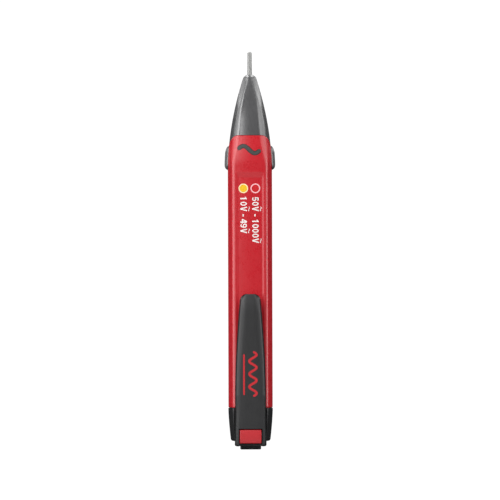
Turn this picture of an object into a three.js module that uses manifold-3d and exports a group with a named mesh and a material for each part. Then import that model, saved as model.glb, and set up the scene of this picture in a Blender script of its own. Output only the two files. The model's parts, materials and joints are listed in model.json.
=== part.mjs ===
// Non contact voltage tester: a battery-powered pen with a slim probe, a glowing smoke-grey nose, a two-half
// red casing and a black tail cap that carries the pocket clip and the cap latch.
//
// Millimetres, +Z from the tail to the probe, the clip side faces -Y, the button side faces +Y. The origin is
// on the long axis, on the flat bottom of the tail tab.

import * as THREE from 'three';
import { mergeVertices } from 'three/addons/utils/BufferGeometryUtils.js';
import Module from 'manifold-3d';

const wasm = await Module();
wasm.setup();

// Heights along the long axis.
const TAIL_TAB_TOP = 3.5;
const CAP_BOTTOM = 3.3;
const CAP_FLOOR = 4.8;
const CAP_TOP = 16.6;
const SHELL_BOTTOM = 16.9;
const SPIGOT_TOP = 21.0;
const NOSE_START = 112;
const TONGUE_TOP = 126.4;
const NOSE_SHOULDER = 149.7;
const NOSE_TOP = 150.9;
const PROBE_TOP = 160.3;

// Cross-section of the casing: two moulded halves, widest at the parting line y = 0.
const BODY_HALF_WIDTH = 8.92;
const BODY_HALF_DEPTH = 10;
const CORNER_SHARE = 0.807;
const EDGE_DEPTH_SHARE = 0.965;
const EDGE_RADIUS = 1.6;
const LEAST_RADIUS = 0.3;
const SHELL_WALL = 1.6;
const NOSE_WALL = 1.4;
const NOSE_TIP_RADIUS = 2.56;
const NOSE_TOP_RADIUS = 1.2;
const NOSE_CURVE_POWER = 1.94;
const NOSE_LEAN = 0.5;
const NOSE_SOFTER = 1.4;
const NOSE_SOFTER_BY = 0.35;
const FLANK_STEPS = 4;
const FILLET_STEPS = 4;
const FACE_STEPS = 3;

// Tongue of the rear shell over the nose, and the seam between them.
const TONGUE_FLAT_HALF = 4.8;
const TONGUE_CORNER_WIDTH = 3.5;
const TONGUE_CORNER_DROP = 5.4;
const SEAM = 0.2;

// Inner tab of the nose that slides under the front shell.
const NOSE_TAB_HALF_WIDTH = 4;
const NOSE_TAB_LENGTH = 6;
const NOSE_TAB_ROOT = 3;
const NOSE_TAB_BACK_Y = 7.2;
const NOSE_TAB_FRONT_Y = 8.2;
const NOSE_TAB_ROOT_Y = 9;

// Finger guard: a ridge round the button side that shows as two ears.
const GUARD_BOTTOM = 112.5;
const GUARD_TOP = 122.4;
const GUARD_RISE = 1.23;
const GUARD_LOWER_RAMP = 2;
const GUARD_UPPER_RAMP = 3;
const GUARD_ROOT = 0.1;

// Sunk panels on the two broad faces.
const LABEL_HALF_WIDTH = 5.5;
const LABEL_TOP = 111.8;
const LABEL_SLOPE = 2.4;
const LABEL_FLOOR_Y = -9.5;
const LABEL_CORNER = 1.3;
const PANEL_FLOOR_Y = 9.6;
const PANEL_HALF_WIDTH = 5.2;
const PANEL_BOTTOM = 24;
const PANEL_TOP = 58;
const PANEL_CORNER = 1.5;

// Catch inside the rear shell that the latch hooks behind.
const CATCH_BACK_Y = -7.9;
const CATCH_FRONT_Y = -7.3;
const CATCH_ROOT_Y = -8.6;
const CATCH_BOTTOM = 8.6;
const CATCH_LIP_TOP = 9.8;
const CATCH_LIP_Y = -7;

// Probe and antenna.
const PROBE_RADIUS = 0.95;
const PROBE_END_RADIUS = 0.86;
const PROBE_BORE = 0.55;
const PROBE_BORE_DEPTH = 1.9;
const PROBE_BORE_TIP = 1.4;
const PROBE_HOLE_GAP = 0.1;
const PROBE_FLANGE_BOTTOM = 143.6;
const PROBE_FLANGE_TOP = 144.7;
const PROBE_FLANGE_RADIUS = 2.1;
const NOSE_CAVITY_TOP = 145;
const ANTENNA_RADIUS = 0.35;
const ANTENNA_BEND_TOP = 121;
const ANTENNA_FOOT = 117.6;

// Cells: two AAA in line.
const CELL_RADIUS = 5.25;
const CELL_LENGTH = 44.5;
const CELL_Y = -2.9;
const CELL_BOTTOM = 22.4;
const CELL_GAP = 0.05;
const CELL_EDGE = 0.35;
const CELL_NUB_RADIUS = 1.9;
const CELL_NUB_HEIGHT = 1;

// Chassis, boards and what stands on them.
const CHASSIS_HALF_WIDTH = 6.5;
const CHASSIS_BOTTOM = 23;
const CHASSIS_TOP = 112.2;
const CHASSIS_BACK_Y = -2.4;
const CHASSIS_FRONT_Y = 3.1;
const CHASSIS_BORE = 5.5;
const CHASSIS_END_WALL = 1.2;
const CHASSIS_END_HALF_WIDTH = 4.5;
const CHASSIS_END_BACK_Y = -7.5;
const CONTACT_THICKNESS = 0.3;
const BOARD_BACK_Y = 3.2;
const BOARD_FRONT_Y = 4.2;
const BOARD_BOTTOM = 27;
const BOARD_SHOULDER = 104;
const BOARD_TOP = 122;
const BOARD_HALF_WIDTH = 6.2;
const BOARD_NECK_HALF_WIDTH = 4.9;
const BOARD_SHOULDER_SLOPE = 1.3;
const LED_BOARD_RADIUS = 6;
const LED_BOARD_THICKNESS = 1.2;
const LED_CIRCLE = 3.5;
const LAMP_RADIUS = 1.5;
const LAMP_RIM_RADIUS = 1.9;
const LAMP_RIM_HEIGHT = 1;
const LAMP_DOME_BASE = 3.8;
const SCREW_X = 4.4;
const SCREW_HEIGHTS = [33, 102];
const SCREW_HOLE_RADIUS = 0.9;
const SCREW_RADIUS = 0.7;
const SCREW_HEAD_RADIUS = 1.6;
const SCREW_HEAD_Y = 5.3;
const SCREW_TIP_Y = 0.9;
const SCREW_SLOT_Y = 4.8;
const SCREW_SLOT_HALF = 0.2;

// Power button and the switch under it.
const BUTTON_Z = 92;
const BUTTON_HALF_WIDTH = 3.9;
const BUTTON_HALF_LENGTH = 6.9;
const BUTTON_TOP_Y = 10.8;
const BUTTON_BACK_Y = 7.6;
const BUTTON_FLANGE = 0.8;
const BUTTON_FLANGE_Y = 7.9;
const BUTTON_EDGE = 0.45;
const SWITCH_HALF = 3;
const SWITCH_TOP_Y = 6.6;
const SWITCH_BORE_Y = 5;
const SWITCH_BORE_RADIUS = 1.35;
const PLUNGER_RADIUS = 1.2;
const PLUNGER_BACK_Y = 5.7;
const BUZZER_Z = 70;
const BUZZER_RADIUS = 4.4;
const BUZZER_TOP_Y = 7.6;
const SOUND_SLOT_HALF_LENGTH = 2.6;
const SOUND_SLOT_HALF_WIDTH = 0.45;
const SOUND_SLOT_PITCH = 2;

// Tail cap.
const CAP_TOP_HALF_WIDTH = 8.98;
const CAP_TAPER = 0.91;
const CAP_TAPER_LENGTH = 12.1;
const CAP_BOTTOM_ROUND = 1.2;
const CAP_PAD_Y = -9.2;
const CAP_PAD_HALF_WIDTH = 6.6;
const SPIGOT_BOTTOM = 14.4;
const SPIGOT_INSET = 1.85;
const SPIGOT_INNER_INSET = 3;
const TAB_HALF_WIDTH = 4.3;
const TAB_BACK_Y = -8;
const TAB_FRONT_Y = 5;
const PEDESTAL_Y = -2.2;
const PEDESTAL_RADIUS = 4;
const PEDESTAL_TOP = 15;
const HOOK_ROOM_Y = -4.1;
const HOOK_ROOM_TOP = 12.2;

// Pocket clip.
const CLIP_OUTER_Y = -15;
const CLIP_INNER_Y = -12.6;
const CLIP_BOTTOM = 1.4;
const CLIP_FLEX_Z = 19;
const CLIP_ARM_BOTTOM = 19.3;
const CLIP_TOP = 62.6;
const CLIP_HALF_WIDTH = 6.1;
const CLIP_TAPER_START = 30;
const CLIP_TAPER = 2.27;
const CLIP_BASE_FLARE = 0.34;
const CLIP_CHAMFER = 0.8;
const CLIP_CHAMFER_RATIO = 1.4;
const CLIP_ROOT_Y = -10.3;
const CLIP_BOTTOM_ROUND = 0.6;
const CLIP_END_START = 56;
const CLIP_END_DROP = 1.1;
const CLIP_END_CORNER_WIDTH = 2.5;
const CLIP_END_CORNER_LENGTH = 3.6;
const CLIP_NUB_Z = 57.5;
const CLIP_NUB_SPREAD = 2.2;
const CLIP_NUB_HEIGHT = 2.3;

// Latch in the root of the clip.
const LATCH_HALF_WIDTH = 4.4;
const LATCH_BOTTOM = 2.5;
const LATCH_TOP = 8;
const LATCH_FACE_Y = -14.9;
const LATCH_BACK_Y = -11.6;
const LATCH_WINDOW_GAP = 0.35;
const LATCH_POCKET_Y = -10;
const LATCH_STEM_HALF_WIDTH = 2;
const LATCH_STEM_GAP = 0.3;
const LATCH_STEM_BOTTOM = 5.4;
const LATCH_STEM_TOP = 7.6;
const LATCH_HOOK_BACK_Y = -6.4;
const LATCH_HOOK_FRONT_Y = -5.6;
const LATCH_HOOK_TOP = 11.2;
const LATCH_HOOK_LIP_BOTTOM = 10;
const LATCH_HOOK_LIP_Y = -6.9;
const LATCH_SPRING_Z = 4.05;
const LATCH_SPRING_RADIUS = 0.8;
const LATCH_SPRING_WIRE = 0.2;
const LATCH_SPRING_LENGTH = 3.2;
const LATCH_SPRING_FRONT_WALL = 0.9;

const FAR = 40;

// ---------------------------------------------------------------- helpers

function signedVolume(positions, index) {
  const a = new THREE.Vector3();
  const b = new THREE.Vector3();
  const c = new THREE.Vector3();
  let volume = 0;
  for (let i = 0; i < index.length; i += 3) {
    a.fromArray(positions, index[i] * 3);
    b.fromArray(positions, index[i + 1] * 3);
    c.fromArray(positions, index[i + 2] * 3);
    volume += a.dot(b.cross(c)) / 6;
  }
  return volume;
}

// A closed three.js geometry as a solid, with its faces turned outwards.
function solid(geometry) {
  const bare = geometry.clone();
  bare.deleteAttribute('normal');
  bare.deleteAttribute('uv');
  const merged = mergeVertices(bare, 1e-4);
  const positions = merged.attributes.position.array;
  const index = [];
  for (let i = 0; i < merged.index.count; i += 3) {
    const corner = [merged.index.getX(i), merged.index.getX(i + 1), merged.index.getX(i + 2)];
    const distinct = new Set(corner).size === 3;
    if (distinct) index.push(...corner);
  }
  if (signedVolume(positions, index) < 0) index.reverse();
  const mesh = new wasm.Mesh({
    numProp: 3,
    vertProperties: new Float32Array(positions),
    triVerts: new Uint32Array(index),
  });
  return new wasm.Manifold(mesh);
}

function toGeometry(body) {
  const mesh = body.getMesh();
  const geometry = new THREE.BufferGeometry();
  geometry.setAttribute('position', new THREE.BufferAttribute(new Float32Array(mesh.vertProperties), 3));
  geometry.setIndex(new THREE.BufferAttribute(new Uint32Array(mesh.triVerts), 1));
  geometry.computeVertexNormals();
  return geometry;
}

function join(...bodies) {
  return bodies.reduce((all, body) => all.add(body));
}

function cut(body, ...tools) {
  return tools.reduce((left, tool) => left.subtract(tool), body);
}

function box(x0, x1, y0, y1, z0, z1) {
  const geometry = new THREE.BoxGeometry(x1 - x0, y1 - y0, z1 - z0);
  geometry.translate((x0 + x1) / 2, (y0 + y1) / 2, (z0 + z1) / 2);
  return solid(geometry);
}

function rodAlongZ(radius, x, y, z0, z1, sides = 32) {
  const geometry = new THREE.CylinderGeometry(radius, radius, z1 - z0, sides);
  geometry.rotateX(Math.PI / 2);
  geometry.translate(x, y, (z0 + z1) / 2);
  return solid(geometry);
}

function rodAlongY(radius, x, z, y0, y1, sides = 32) {
  const geometry = new THREE.CylinderGeometry(radius, radius, y1 - y0, sides);
  geometry.translate(x, (y0 + y1) / 2, z);
  return solid(geometry);
}

// An outline drawn in the XZ plane, given thickness along Y.
function plateAcrossY(shape, y0, y1, bevel = 0) {
  const geometry = new THREE.ExtrudeGeometry(shape, {
    depth: y1 - y0 - 2 * bevel,
    curveSegments: 3,
    bevelEnabled: bevel > 0,
    bevelThickness: bevel,
    bevelSize: bevel,
    bevelOffset: -bevel,
    bevelSegments: 3,
  });
  geometry.rotateX(Math.PI / 2);
  geometry.translate(0, y1 - bevel, 0);
  return solid(geometry);
}

function roundedRectangle(halfWidth, z0, z1, radius) {
  const shape = new THREE.Shape();
  shape.moveTo(-halfWidth, z0 + radius);
  shape.absarc(-halfWidth + radius, z1 - radius, radius, Math.PI, Math.PI / 2, true);
  shape.absarc(halfWidth - radius, z1 - radius, radius, Math.PI / 2, 0, true);
  shape.absarc(halfWidth - radius, z0 + radius, radius, 0, -Math.PI / 2, true);
  shape.absarc(-halfWidth + radius, z0 + radius, radius, -Math.PI / 2, -Math.PI, true);
  return shape;
}

function steps(from, to, count) {
  return Array.from({ length: count + 1 }, (_, i) => from + ((to - from) * i) / count);
}

// A skin over a row of rings with the same number of points, closed by a fan at each end.
function loft(rings) {
  const count = rings[0].length;
  const last = (rings.length - 1) * count;
  const points = rings.flat();
  const index = [];
  for (let k = 0; k < rings.length - 1; k += 1) {
    for (let i = 0; i < count; i += 1) {
      const a = k * count + i;
      const b = k * count + ((i + 1) % count);
      index.push(a, b, b + count, a, b + count, a + count);
    }
  }
  for (const [ring, start, side] of [[rings[0], 0, -1], [rings[rings.length - 1], last, 1]]) {
    const middle = ring.reduce((sum, p) => sum.add(p), new THREE.Vector3()).divideScalar(count);
    points.push(middle);
    for (let i = 0; i < count; i += 1) {
      const a = start + i;
      const b = start + ((i + 1) % count);
      index.push(points.length - 1, side > 0 ? a : b, side > 0 ? b : a);
    }
  }
  const geometry = new THREE.BufferGeometry();
  geometry.setAttribute('position', new THREE.Float32BufferAttribute(points.flatMap((p) => p.toArray()), 3));
  geometry.setIndex(index);
  return solid(geometry);
}

function lathe(profile, x, y, sides = 32) {
  const geometry = new THREE.LatheGeometry(profile.map(([r, z]) => new THREE.Vector2(r, z)), sides);
  geometry.rotateX(Math.PI / 2);
  geometry.translate(x, y, 0);
  return solid(geometry);
}

class Helix extends THREE.Curve {
  constructor(startRadius, endRadius, length, turns) {
    super();
    this.startRadius = startRadius;
    this.endRadius = endRadius;
    this.length = length;
    this.turns = turns;
  }

  getPoint(t, target = new THREE.Vector3()) {
    const radius = THREE.MathUtils.lerp(this.startRadius, this.endRadius, t);
    const angle = t * this.turns * 2 * Math.PI;
    return target.set(radius * Math.cos(angle), radius * Math.sin(angle), t * this.length);
  }
}

function wireAlong(curve, radius, count, sides) {
  const shape = new THREE.Shape();
  shape.absarc(0, 0, radius, 0, 2 * Math.PI, false);
  return new THREE.ExtrudeGeometry(shape, {
    steps: count,
    curveSegments: sides / 2,
    bevelEnabled: false,
    extrudePath: curve,
  });
}

const group = new THREE.Group();

function addPart(name, body, color, roughness, metalness = 0) {
  const material = new THREE.MeshStandardMaterial({ color, roughness, metalness });
  const mesh = new THREE.Mesh(toGeometry(body), material);
  mesh.name = name;
  group.add(mesh);
}

// ---------------------------------------------------------------- the casing's outer form

// How far up the nose a height is: 0 where the casing ends, 1 at the shoulder under the probe.
function noseShare(z) {
  return THREE.MathUtils.clamp((z - NOSE_START) / (NOSE_SHOULDER - NOSE_START), 0, 1);
}

function taperedTo(size, end, z) {
  return size - (size - end) * noseShare(z) ** NOSE_CURVE_POWER;
}

// One quarter of the section, from the parting line round the moulded edge to the middle of the broad face.
// Up the nose, with `share`, the edges turn softer and the flanks lean in.
function sectionQuarter(halfWidth, halfDepth, inset, share) {
  const edgeDepth = halfDepth * EDGE_DEPTH_SHARE;
  const slope = (halfWidth * (1 - CORNER_SHARE + NOSE_LEAN * share ** 4)) / edgeDepth;
  const slant = Math.hypot(1, slope);
  const width = halfWidth - inset * slant;
  const depth = edgeDepth - inset;
  const crown = halfDepth - edgeDepth;
  const softer = 1 + NOSE_SOFTER * THREE.MathUtils.smoothstep(share, 0, NOSE_SOFTER_BY);
  const radius = Math.max((EDGE_RADIUS * softer * halfWidth) / BODY_HALF_WIDTH - inset, LEAST_RADIUS);
  const centreX = width - slope * (depth - radius) - radius * slant;
  const centreY = depth - radius;
  const firstAngle = Math.atan(slope);
  const flankEnd = new THREE.Vector2(Math.cos(firstAngle), Math.sin(firstAngle)).multiplyScalar(radius);
  flankEnd.x += centreX;
  flankEnd.y += centreY;
  const points = [];
  for (let i = 0; i < FLANK_STEPS; i += 1) {
    points.push(new THREE.Vector2(width, 0).lerp(flankEnd, i / FLANK_STEPS));
  }
  for (const angle of steps(firstAngle, Math.PI / 2, FILLET_STEPS)) {
    points.push(new THREE.Vector2(centreX + radius * Math.cos(angle), centreY + radius * Math.sin(angle)));
  }
  for (let i = 1; i <= FACE_STEPS; i += 1) {
    const across = 1 - i / FACE_STEPS;
    points.push(new THREE.Vector2(centreX * across, depth + crown * (1 - across ** 2)));
  }
  return points;
}

// The full ring at one height. It is drawn towards an ellipse at the top of the nose, where `share` is 1.
function sectionRing(halfWidth, halfDepth, inset, share, z) {
  const quarter = sectionQuarter(halfWidth, halfDepth, inset, share).map((point) => {
    const angle = point.angle();
    const across = Math.cos(angle) / (halfWidth - inset);
    const along = Math.sin(angle) / (halfDepth - inset);
    const reach = THREE.MathUtils.lerp(point.length(), 1 / Math.hypot(across, along), share ** 5);
    return [reach * Math.cos(angle), reach * Math.sin(angle)];
  });
  quarter[quarter.length - 1][0] = 0;
  quarter[0][1] = 0;
  const half = [...quarter, ...quarter.slice(0, -1).reverse().map(([x, y]) => [-x, y])];
  const otherHalf = half.slice(1, -1).reverse().map(([x, y]) => [x, -y]);
  return [...half, ...otherHalf].map(([x, y]) => new THREE.Vector3(x, y, z));
}

function bodyRing(z, inset) {
  const halfWidth = taperedTo(BODY_HALF_WIDTH, NOSE_TIP_RADIUS, z);
  const halfDepth = taperedTo(BODY_HALF_DEPTH, NOSE_TIP_RADIUS, z);
  return sectionRing(halfWidth, halfDepth, inset, noseShare(z), z);
}

function bodyLoft(heights, inset) {
  return loft(heights.map((z) => bodyRing(z, inset)));
}

const rearHalf = box(-FAR, FAR, -FAR, 0, -FAR, 5 * FAR);
const frontHalf = box(-FAR, FAR, 0, FAR, -FAR, 5 * FAR);

// Front outline of the rear shell: straight sides, then the tongue with its two round corners. `gap` is added
// all round.
function tongueOutline(gap) {
  const corner = TONGUE_TOP - TONGUE_CORNER_DROP;
  const shape = new THREE.Shape();
  shape.moveTo(-FAR / 2, 0);
  shape.lineTo(FAR / 2, 0);
  shape.lineTo(FAR / 2, corner + gap);
  for (const angle of steps(0, Math.PI / 2, 8)) {
    const x = TONGUE_FLAT_HALF + (TONGUE_CORNER_WIDTH + gap) * Math.cos(angle);
    shape.lineTo(x, corner + gap + TONGUE_CORNER_DROP * Math.sin(angle));
  }
  for (const angle of steps(Math.PI / 2, 0, 8)) {
    const x = TONGUE_FLAT_HALF + (TONGUE_CORNER_WIDTH + gap) * Math.cos(angle);
    shape.lineTo(-x, corner + gap + TONGUE_CORNER_DROP * Math.sin(angle));
  }
  shape.lineTo(-FAR / 2, corner + gap);
  return shape;
}

// ---------------------------------------------------------------- shells and nose

// The sunk label panel: a flat floor with a ramp at its top end, running down under the clip.
function labelCutter() {
  const outline = (top, y) => {
    const shape = roundedRectangle(LABEL_HALF_WIDTH, 0, top, LABEL_CORNER);
    return shape.getPoints(5).map((p) => new THREE.Vector3(p.x, y, p.y));
  };
  const above = BODY_HALF_DEPTH + 0.5;
  const reach = above + LABEL_FLOOR_Y;
  const rise = (LABEL_SLOPE * reach) / (BODY_HALF_DEPTH + LABEL_FLOOR_Y);
  const rampFoot = LABEL_TOP - LABEL_SLOPE;
  return loft([outline(rampFoot, LABEL_FLOOR_Y), outline(rampFoot + rise, -above)]);
}

// Catch that hangs from the rear shell into the cap for the latch to hook behind.
function latchTongue() {
  const halfWidth = LATCH_STEM_HALF_WIDTH;
  const rootBottom = SHELL_BOTTOM + 0.3;
  return join(
    box(-halfWidth, halfWidth, CATCH_ROOT_Y, CATCH_FRONT_Y, rootBottom, SPIGOT_TOP),
    box(-halfWidth, halfWidth, CATCH_BACK_Y, CATCH_FRONT_Y, CATCH_BOTTOM, rootBottom + 0.2),
    box(-halfWidth, halfWidth, CATCH_FRONT_Y - 0.1, CATCH_LIP_Y, CATCH_BOTTOM, CATCH_LIP_TOP),
  );
}

function rearShell() {
  const straight = [SHELL_BOTTOM, NOSE_START];
  const outer = bodyLoft([...straight, ...steps(NOSE_START + 2, TONGUE_TOP + 1, 5)], 0);
  const inner = bodyLoft([0, NOSE_START, ...steps(NOSE_START + 2, TONGUE_TOP + 2, 5)], SHELL_WALL);
  const front = plateAcrossY(tongueOutline(0), -FAR, FAR);
  const wall = cut(outer, inner).intersect(rearHalf).intersect(front);
  return join(cut(wall, labelCutter()), latchTongue());
}

function buttonWindow(gap, y0, y1) {
  const width = BUTTON_HALF_WIDTH + gap;
  const length = BUTTON_HALF_LENGTH + gap;
  return plateAcrossY(roundedRectangle(width, BUTTON_Z - length, BUTTON_Z + length, width), y0, y1);
}

function frontShell() {
  const hollow = bodyLoft([0, NOSE_START, NOSE_START + 1], SHELL_WALL);
  const wall = cut(bodyLoft([SHELL_BOTTOM, NOSE_START], 0), hollow);
  const panelOutline = roundedRectangle(PANEL_HALF_WIDTH, PANEL_BOTTOM, PANEL_TOP, PANEL_CORNER);
  const panel = plateAcrossY(panelOutline, PANEL_FLOOR_Y, FAR);
  const soundSlots = [-1, 0, 1].map((k) => {
    const z = BUZZER_Z + SOUND_SLOT_PITCH * k;
    const half = SOUND_SLOT_HALF_WIDTH;
    return plateAcrossY(roundedRectangle(SOUND_SLOT_HALF_LENGTH, z - half, z + half, half - 0.01), 0, FAR);
  });
  return cut(wall.intersect(frontHalf), panel, buttonWindow(SEAM, 0, FAR), ...soundSlots);
}

// The ridge's outline follows the nose, swelling and falling off along its length.
function fingerGuard() {
  const rings = steps(0, 1, 14).map((share) => {
    const z = THREE.MathUtils.lerp(GUARD_BOTTOM, GUARD_TOP, share);
    const lower = Math.min((z - GUARD_BOTTOM) / GUARD_LOWER_RAMP, 1);
    const upper = Math.min((GUARD_TOP - z) / GUARD_UPPER_RAMP, 1);
    const swell = Math.sqrt(Math.max(1 - (1 - lower) ** 2, 0)) * Math.sqrt(Math.max(1 - (1 - upper) ** 2, 0));
    return bodyRing(z, GUARD_ROOT - (GUARD_RISE + GUARD_ROOT) * swell);
  });
  return loft(rings).intersect(frontHalf);
}

function noseLens() {
  const cone = steps(NOSE_START, NOSE_SHOULDER, 14).map((z) => bodyRing(z, 0));
  const shoulder = steps(0, 1, 4).slice(1).map((share) => {
    const radius = NOSE_TOP_RADIUS + (NOSE_TIP_RADIUS - NOSE_TOP_RADIUS) * Math.sqrt(1 - share ** 2);
    return sectionRing(radius, radius, 0, 1, THREE.MathUtils.lerp(NOSE_SHOULDER, NOSE_TOP, share));
  });
  const outer = join(loft([...cone, ...shoulder]), fingerGuard());
  const cavity = bodyLoft([NOSE_START - 1, ...steps(NOSE_START, NOSE_CAVITY_TOP, 12)], NOSE_WALL);
  const bore = rodAlongZ(PROBE_RADIUS + PROBE_HOLE_GAP, 0, 0, NOSE_CAVITY_TOP - 1, NOSE_TOP + 1, 24);
  const seat = plateAcrossY(tongueOutline(SEAM), -FAR, 0);
  const half = NOSE_TAB_HALF_WIDTH;
  const tabTop = NOSE_START + NOSE_TAB_ROOT;
  const tab = join(
    box(-half, half, NOSE_TAB_BACK_Y, NOSE_TAB_FRONT_Y, NOSE_START - NOSE_TAB_LENGTH, tabTop),
    box(-half, half, NOSE_TAB_BACK_Y, NOSE_TAB_ROOT_Y, NOSE_START, tabTop),
  );
  return join(cut(outer, cavity, bore, seat), tab);
}

addPart('rear_shell', rearShell(), 0xc42a32, 0.42);
addPart('front_shell', frontShell(), 0xc02830, 0.42);
addPart('nose_lens', noseLens(), 0x68696a, 0.3);

// ---------------------------------------------------------------- probe, antenna and lamps

// Quarter circle from the rim up to the top of a dome, as a profile to turn.
function domeProfile(radius, top, count) {
  const profile = steps(0, Math.PI / 2, count).map((angle) => {
    return [radius * Math.cos(angle), top - radius * (1 - Math.sin(angle))];
  });
  profile[profile.length - 1][0] = 0;
  return profile;
}

function probeTip() {
  const dome = domeProfile(PROBE_END_RADIUS, PROBE_TOP, 5);
  return lathe([
    [0, PROBE_TOP - PROBE_BORE_TIP],
    [PROBE_BORE, PROBE_TOP - PROBE_BORE_DEPTH],
    [PROBE_BORE, PROBE_FLANGE_BOTTOM],
    [PROBE_FLANGE_RADIUS, PROBE_FLANGE_BOTTOM],
    [PROBE_FLANGE_RADIUS, PROBE_FLANGE_TOP],
    [PROBE_RADIUS, PROBE_FLANGE_TOP],
    ...dome,
  ], 0, 0, 24);
}

function sensorAntenna() {
  const path = new THREE.CurvePath();
  const bendTop = new THREE.Vector3(0, 0, ANTENNA_BEND_TOP);
  const wireTop = PROBE_TOP - PROBE_BORE_DEPTH - 0.5;
  path.add(new THREE.LineCurve3(new THREE.Vector3(0, 0, wireTop), bendTop));
  const bend = new THREE.QuadraticBezierCurve3(
    bendTop,
    new THREE.Vector3(0, 0, ANTENNA_FOOT),
    new THREE.Vector3(0, BOARD_BACK_Y - 0.15, ANTENNA_FOOT),
  );
  path.add(bend);
  return solid(wireAlong(path, ANTENNA_RADIUS, 32, 8));
}

function lamp(angle) {
  const base = BOARD_TOP + LED_BOARD_THICKNESS;
  const rimTop = base + LAMP_RIM_HEIGHT;
  const profile = [
    [0, base],
    [LAMP_RIM_RADIUS, base],
    [LAMP_RIM_RADIUS, rimTop],
    [LAMP_RADIUS, rimTop],
    ...domeProfile(LAMP_RADIUS, base + LAMP_DOME_BASE + LAMP_RADIUS, 4),
  ];
  return lathe(profile, LED_CIRCLE * Math.cos(angle), LED_CIRCLE * Math.sin(angle), 20);
}

function ledBoard() {
  const disc = rodAlongZ(LED_BOARD_RADIUS, 0, 0, BOARD_TOP, BOARD_TOP + LED_BOARD_THICKNESS, 40);
  const wireHole = rodAlongZ(2 * ANTENNA_RADIUS, 0, 0, BOARD_TOP - 1, BOARD_TOP + 2, 16);
  return cut(disc, wireHole);
}

addPart('probe_tip', probeTip(), 0xb4b4b2, 0.35);
addPart('sensor_antenna', sensorAntenna(), 0xb98b4a, 0.35, 0.9);
addPart('led_board', ledBoard(), 0x1e5b3a, 0.5);
const lampColors = {
  led_red: 0xc8201c,
  led_yellow: 0xe9b21c,
  led_green: 0x39a84a,
  work_light_led: 0xe8ebef,
};
Object.entries(lampColors).forEach(([name, color], i) => {
  addPart(name, lamp(Math.PI / 4 + (i * Math.PI) / 2), color, 0.15);
});

// ---------------------------------------------------------------- boards and electronics

function screwHoles() {
  return [-1, 1].map((side, i) => {
    return rodAlongY(SCREW_HOLE_RADIUS, side * SCREW_X, SCREW_HEIGHTS[i], SCREW_TIP_Y - 0.3, 8, 20);
  });
}

function circuitBoard() {
  const shape = new THREE.Shape();
  shape.moveTo(-BOARD_HALF_WIDTH, BOARD_BOTTOM);
  shape.lineTo(BOARD_HALF_WIDTH, BOARD_BOTTOM);
  shape.lineTo(BOARD_HALF_WIDTH, BOARD_SHOULDER);
  shape.lineTo(BOARD_NECK_HALF_WIDTH, BOARD_SHOULDER + BOARD_SHOULDER_SLOPE);
  shape.lineTo(BOARD_NECK_HALF_WIDTH, BOARD_TOP);
  shape.lineTo(-BOARD_NECK_HALF_WIDTH, BOARD_TOP);
  shape.lineTo(-BOARD_NECK_HALF_WIDTH, BOARD_SHOULDER + BOARD_SHOULDER_SLOPE);
  shape.lineTo(-BOARD_HALF_WIDTH, BOARD_SHOULDER);
  return cut(plateAcrossY(shape, BOARD_BACK_Y, BOARD_FRONT_Y), ...screwHoles());
}

function powerSwitch() {
  const half = SWITCH_HALF;
  const body = box(-half, half, BOARD_FRONT_Y, SWITCH_TOP_Y, BUTTON_Z - half, BUTTON_Z + half);
  return cut(body, rodAlongY(SWITCH_BORE_RADIUS, 0, BUTTON_Z, SWITCH_BORE_Y, SWITCH_TOP_Y + 1, 24));
}

function powerButton() {
  const flangeWidth = BUTTON_HALF_WIDTH + BUTTON_FLANGE;
  const flangeLength = BUTTON_HALF_LENGTH + BUTTON_FLANGE;
  const flange = roundedRectangle(flangeWidth, BUTTON_Z - flangeLength, BUTTON_Z + flangeLength, flangeWidth);
  const key = roundedRectangle(
    BUTTON_HALF_WIDTH,
    BUTTON_Z - BUTTON_HALF_LENGTH,
    BUTTON_Z + BUTTON_HALF_LENGTH,
    BUTTON_HALF_WIDTH,
  );
  return join(
    plateAcrossY(flange, BUTTON_BACK_Y, BUTTON_FLANGE_Y),
    plateAcrossY(key, BUTTON_BACK_Y + 0.1, BUTTON_TOP_Y, BUTTON_EDGE),
  );
}

function buzzer() {
  const can = rodAlongY(BUZZER_RADIUS, 0, BUZZER_Z, BOARD_FRONT_Y, BUZZER_TOP_Y, 40);
  const soundHole = rodAlongY(0.8, 0, BUZZER_Z, BUZZER_TOP_Y - 1.2, BUZZER_TOP_Y + 1, 16);
  return cut(can, soundHole);
}

function controllerChip() {
  const z = 54;
  const leadPitch = 1.27;
  const leadLength = 1.3;
  const leadTop = BOARD_FRONT_Y + 0.7;
  const leads = [-1, 1].flatMap((side) => [-1.5, -0.5, 0.5, 1.5].map((place) => {
    const x0 = side > 0 ? 1.8 : -1.8 - leadLength;
    const leadZ = z + place * leadPitch;
    return box(x0, x0 + leadLength, BOARD_FRONT_Y, leadTop, leadZ - 0.2, leadZ + 0.2);
  }));
  const body = box(-2, 2, BOARD_FRONT_Y + 0.15, BOARD_FRONT_Y + 1.65, z - 2.5, z + 2.5);
  return join(body, ...leads);
}

function crystal() {
  const bottom = 42;
  const length = 4.6;
  const height = 2.5;
  const shape = new THREE.Shape();
  roundedRectangle(1, bottom, bottom + length, 0.99).getPoints(3).forEach((point, i) => {
    const place = [point.x - 3.4, point.y];
    if (i === 0) shape.moveTo(...place);
    else shape.lineTo(...place);
  });
  return plateAcrossY(shape, BOARD_FRONT_Y, BOARD_FRONT_Y + height);
}

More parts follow.
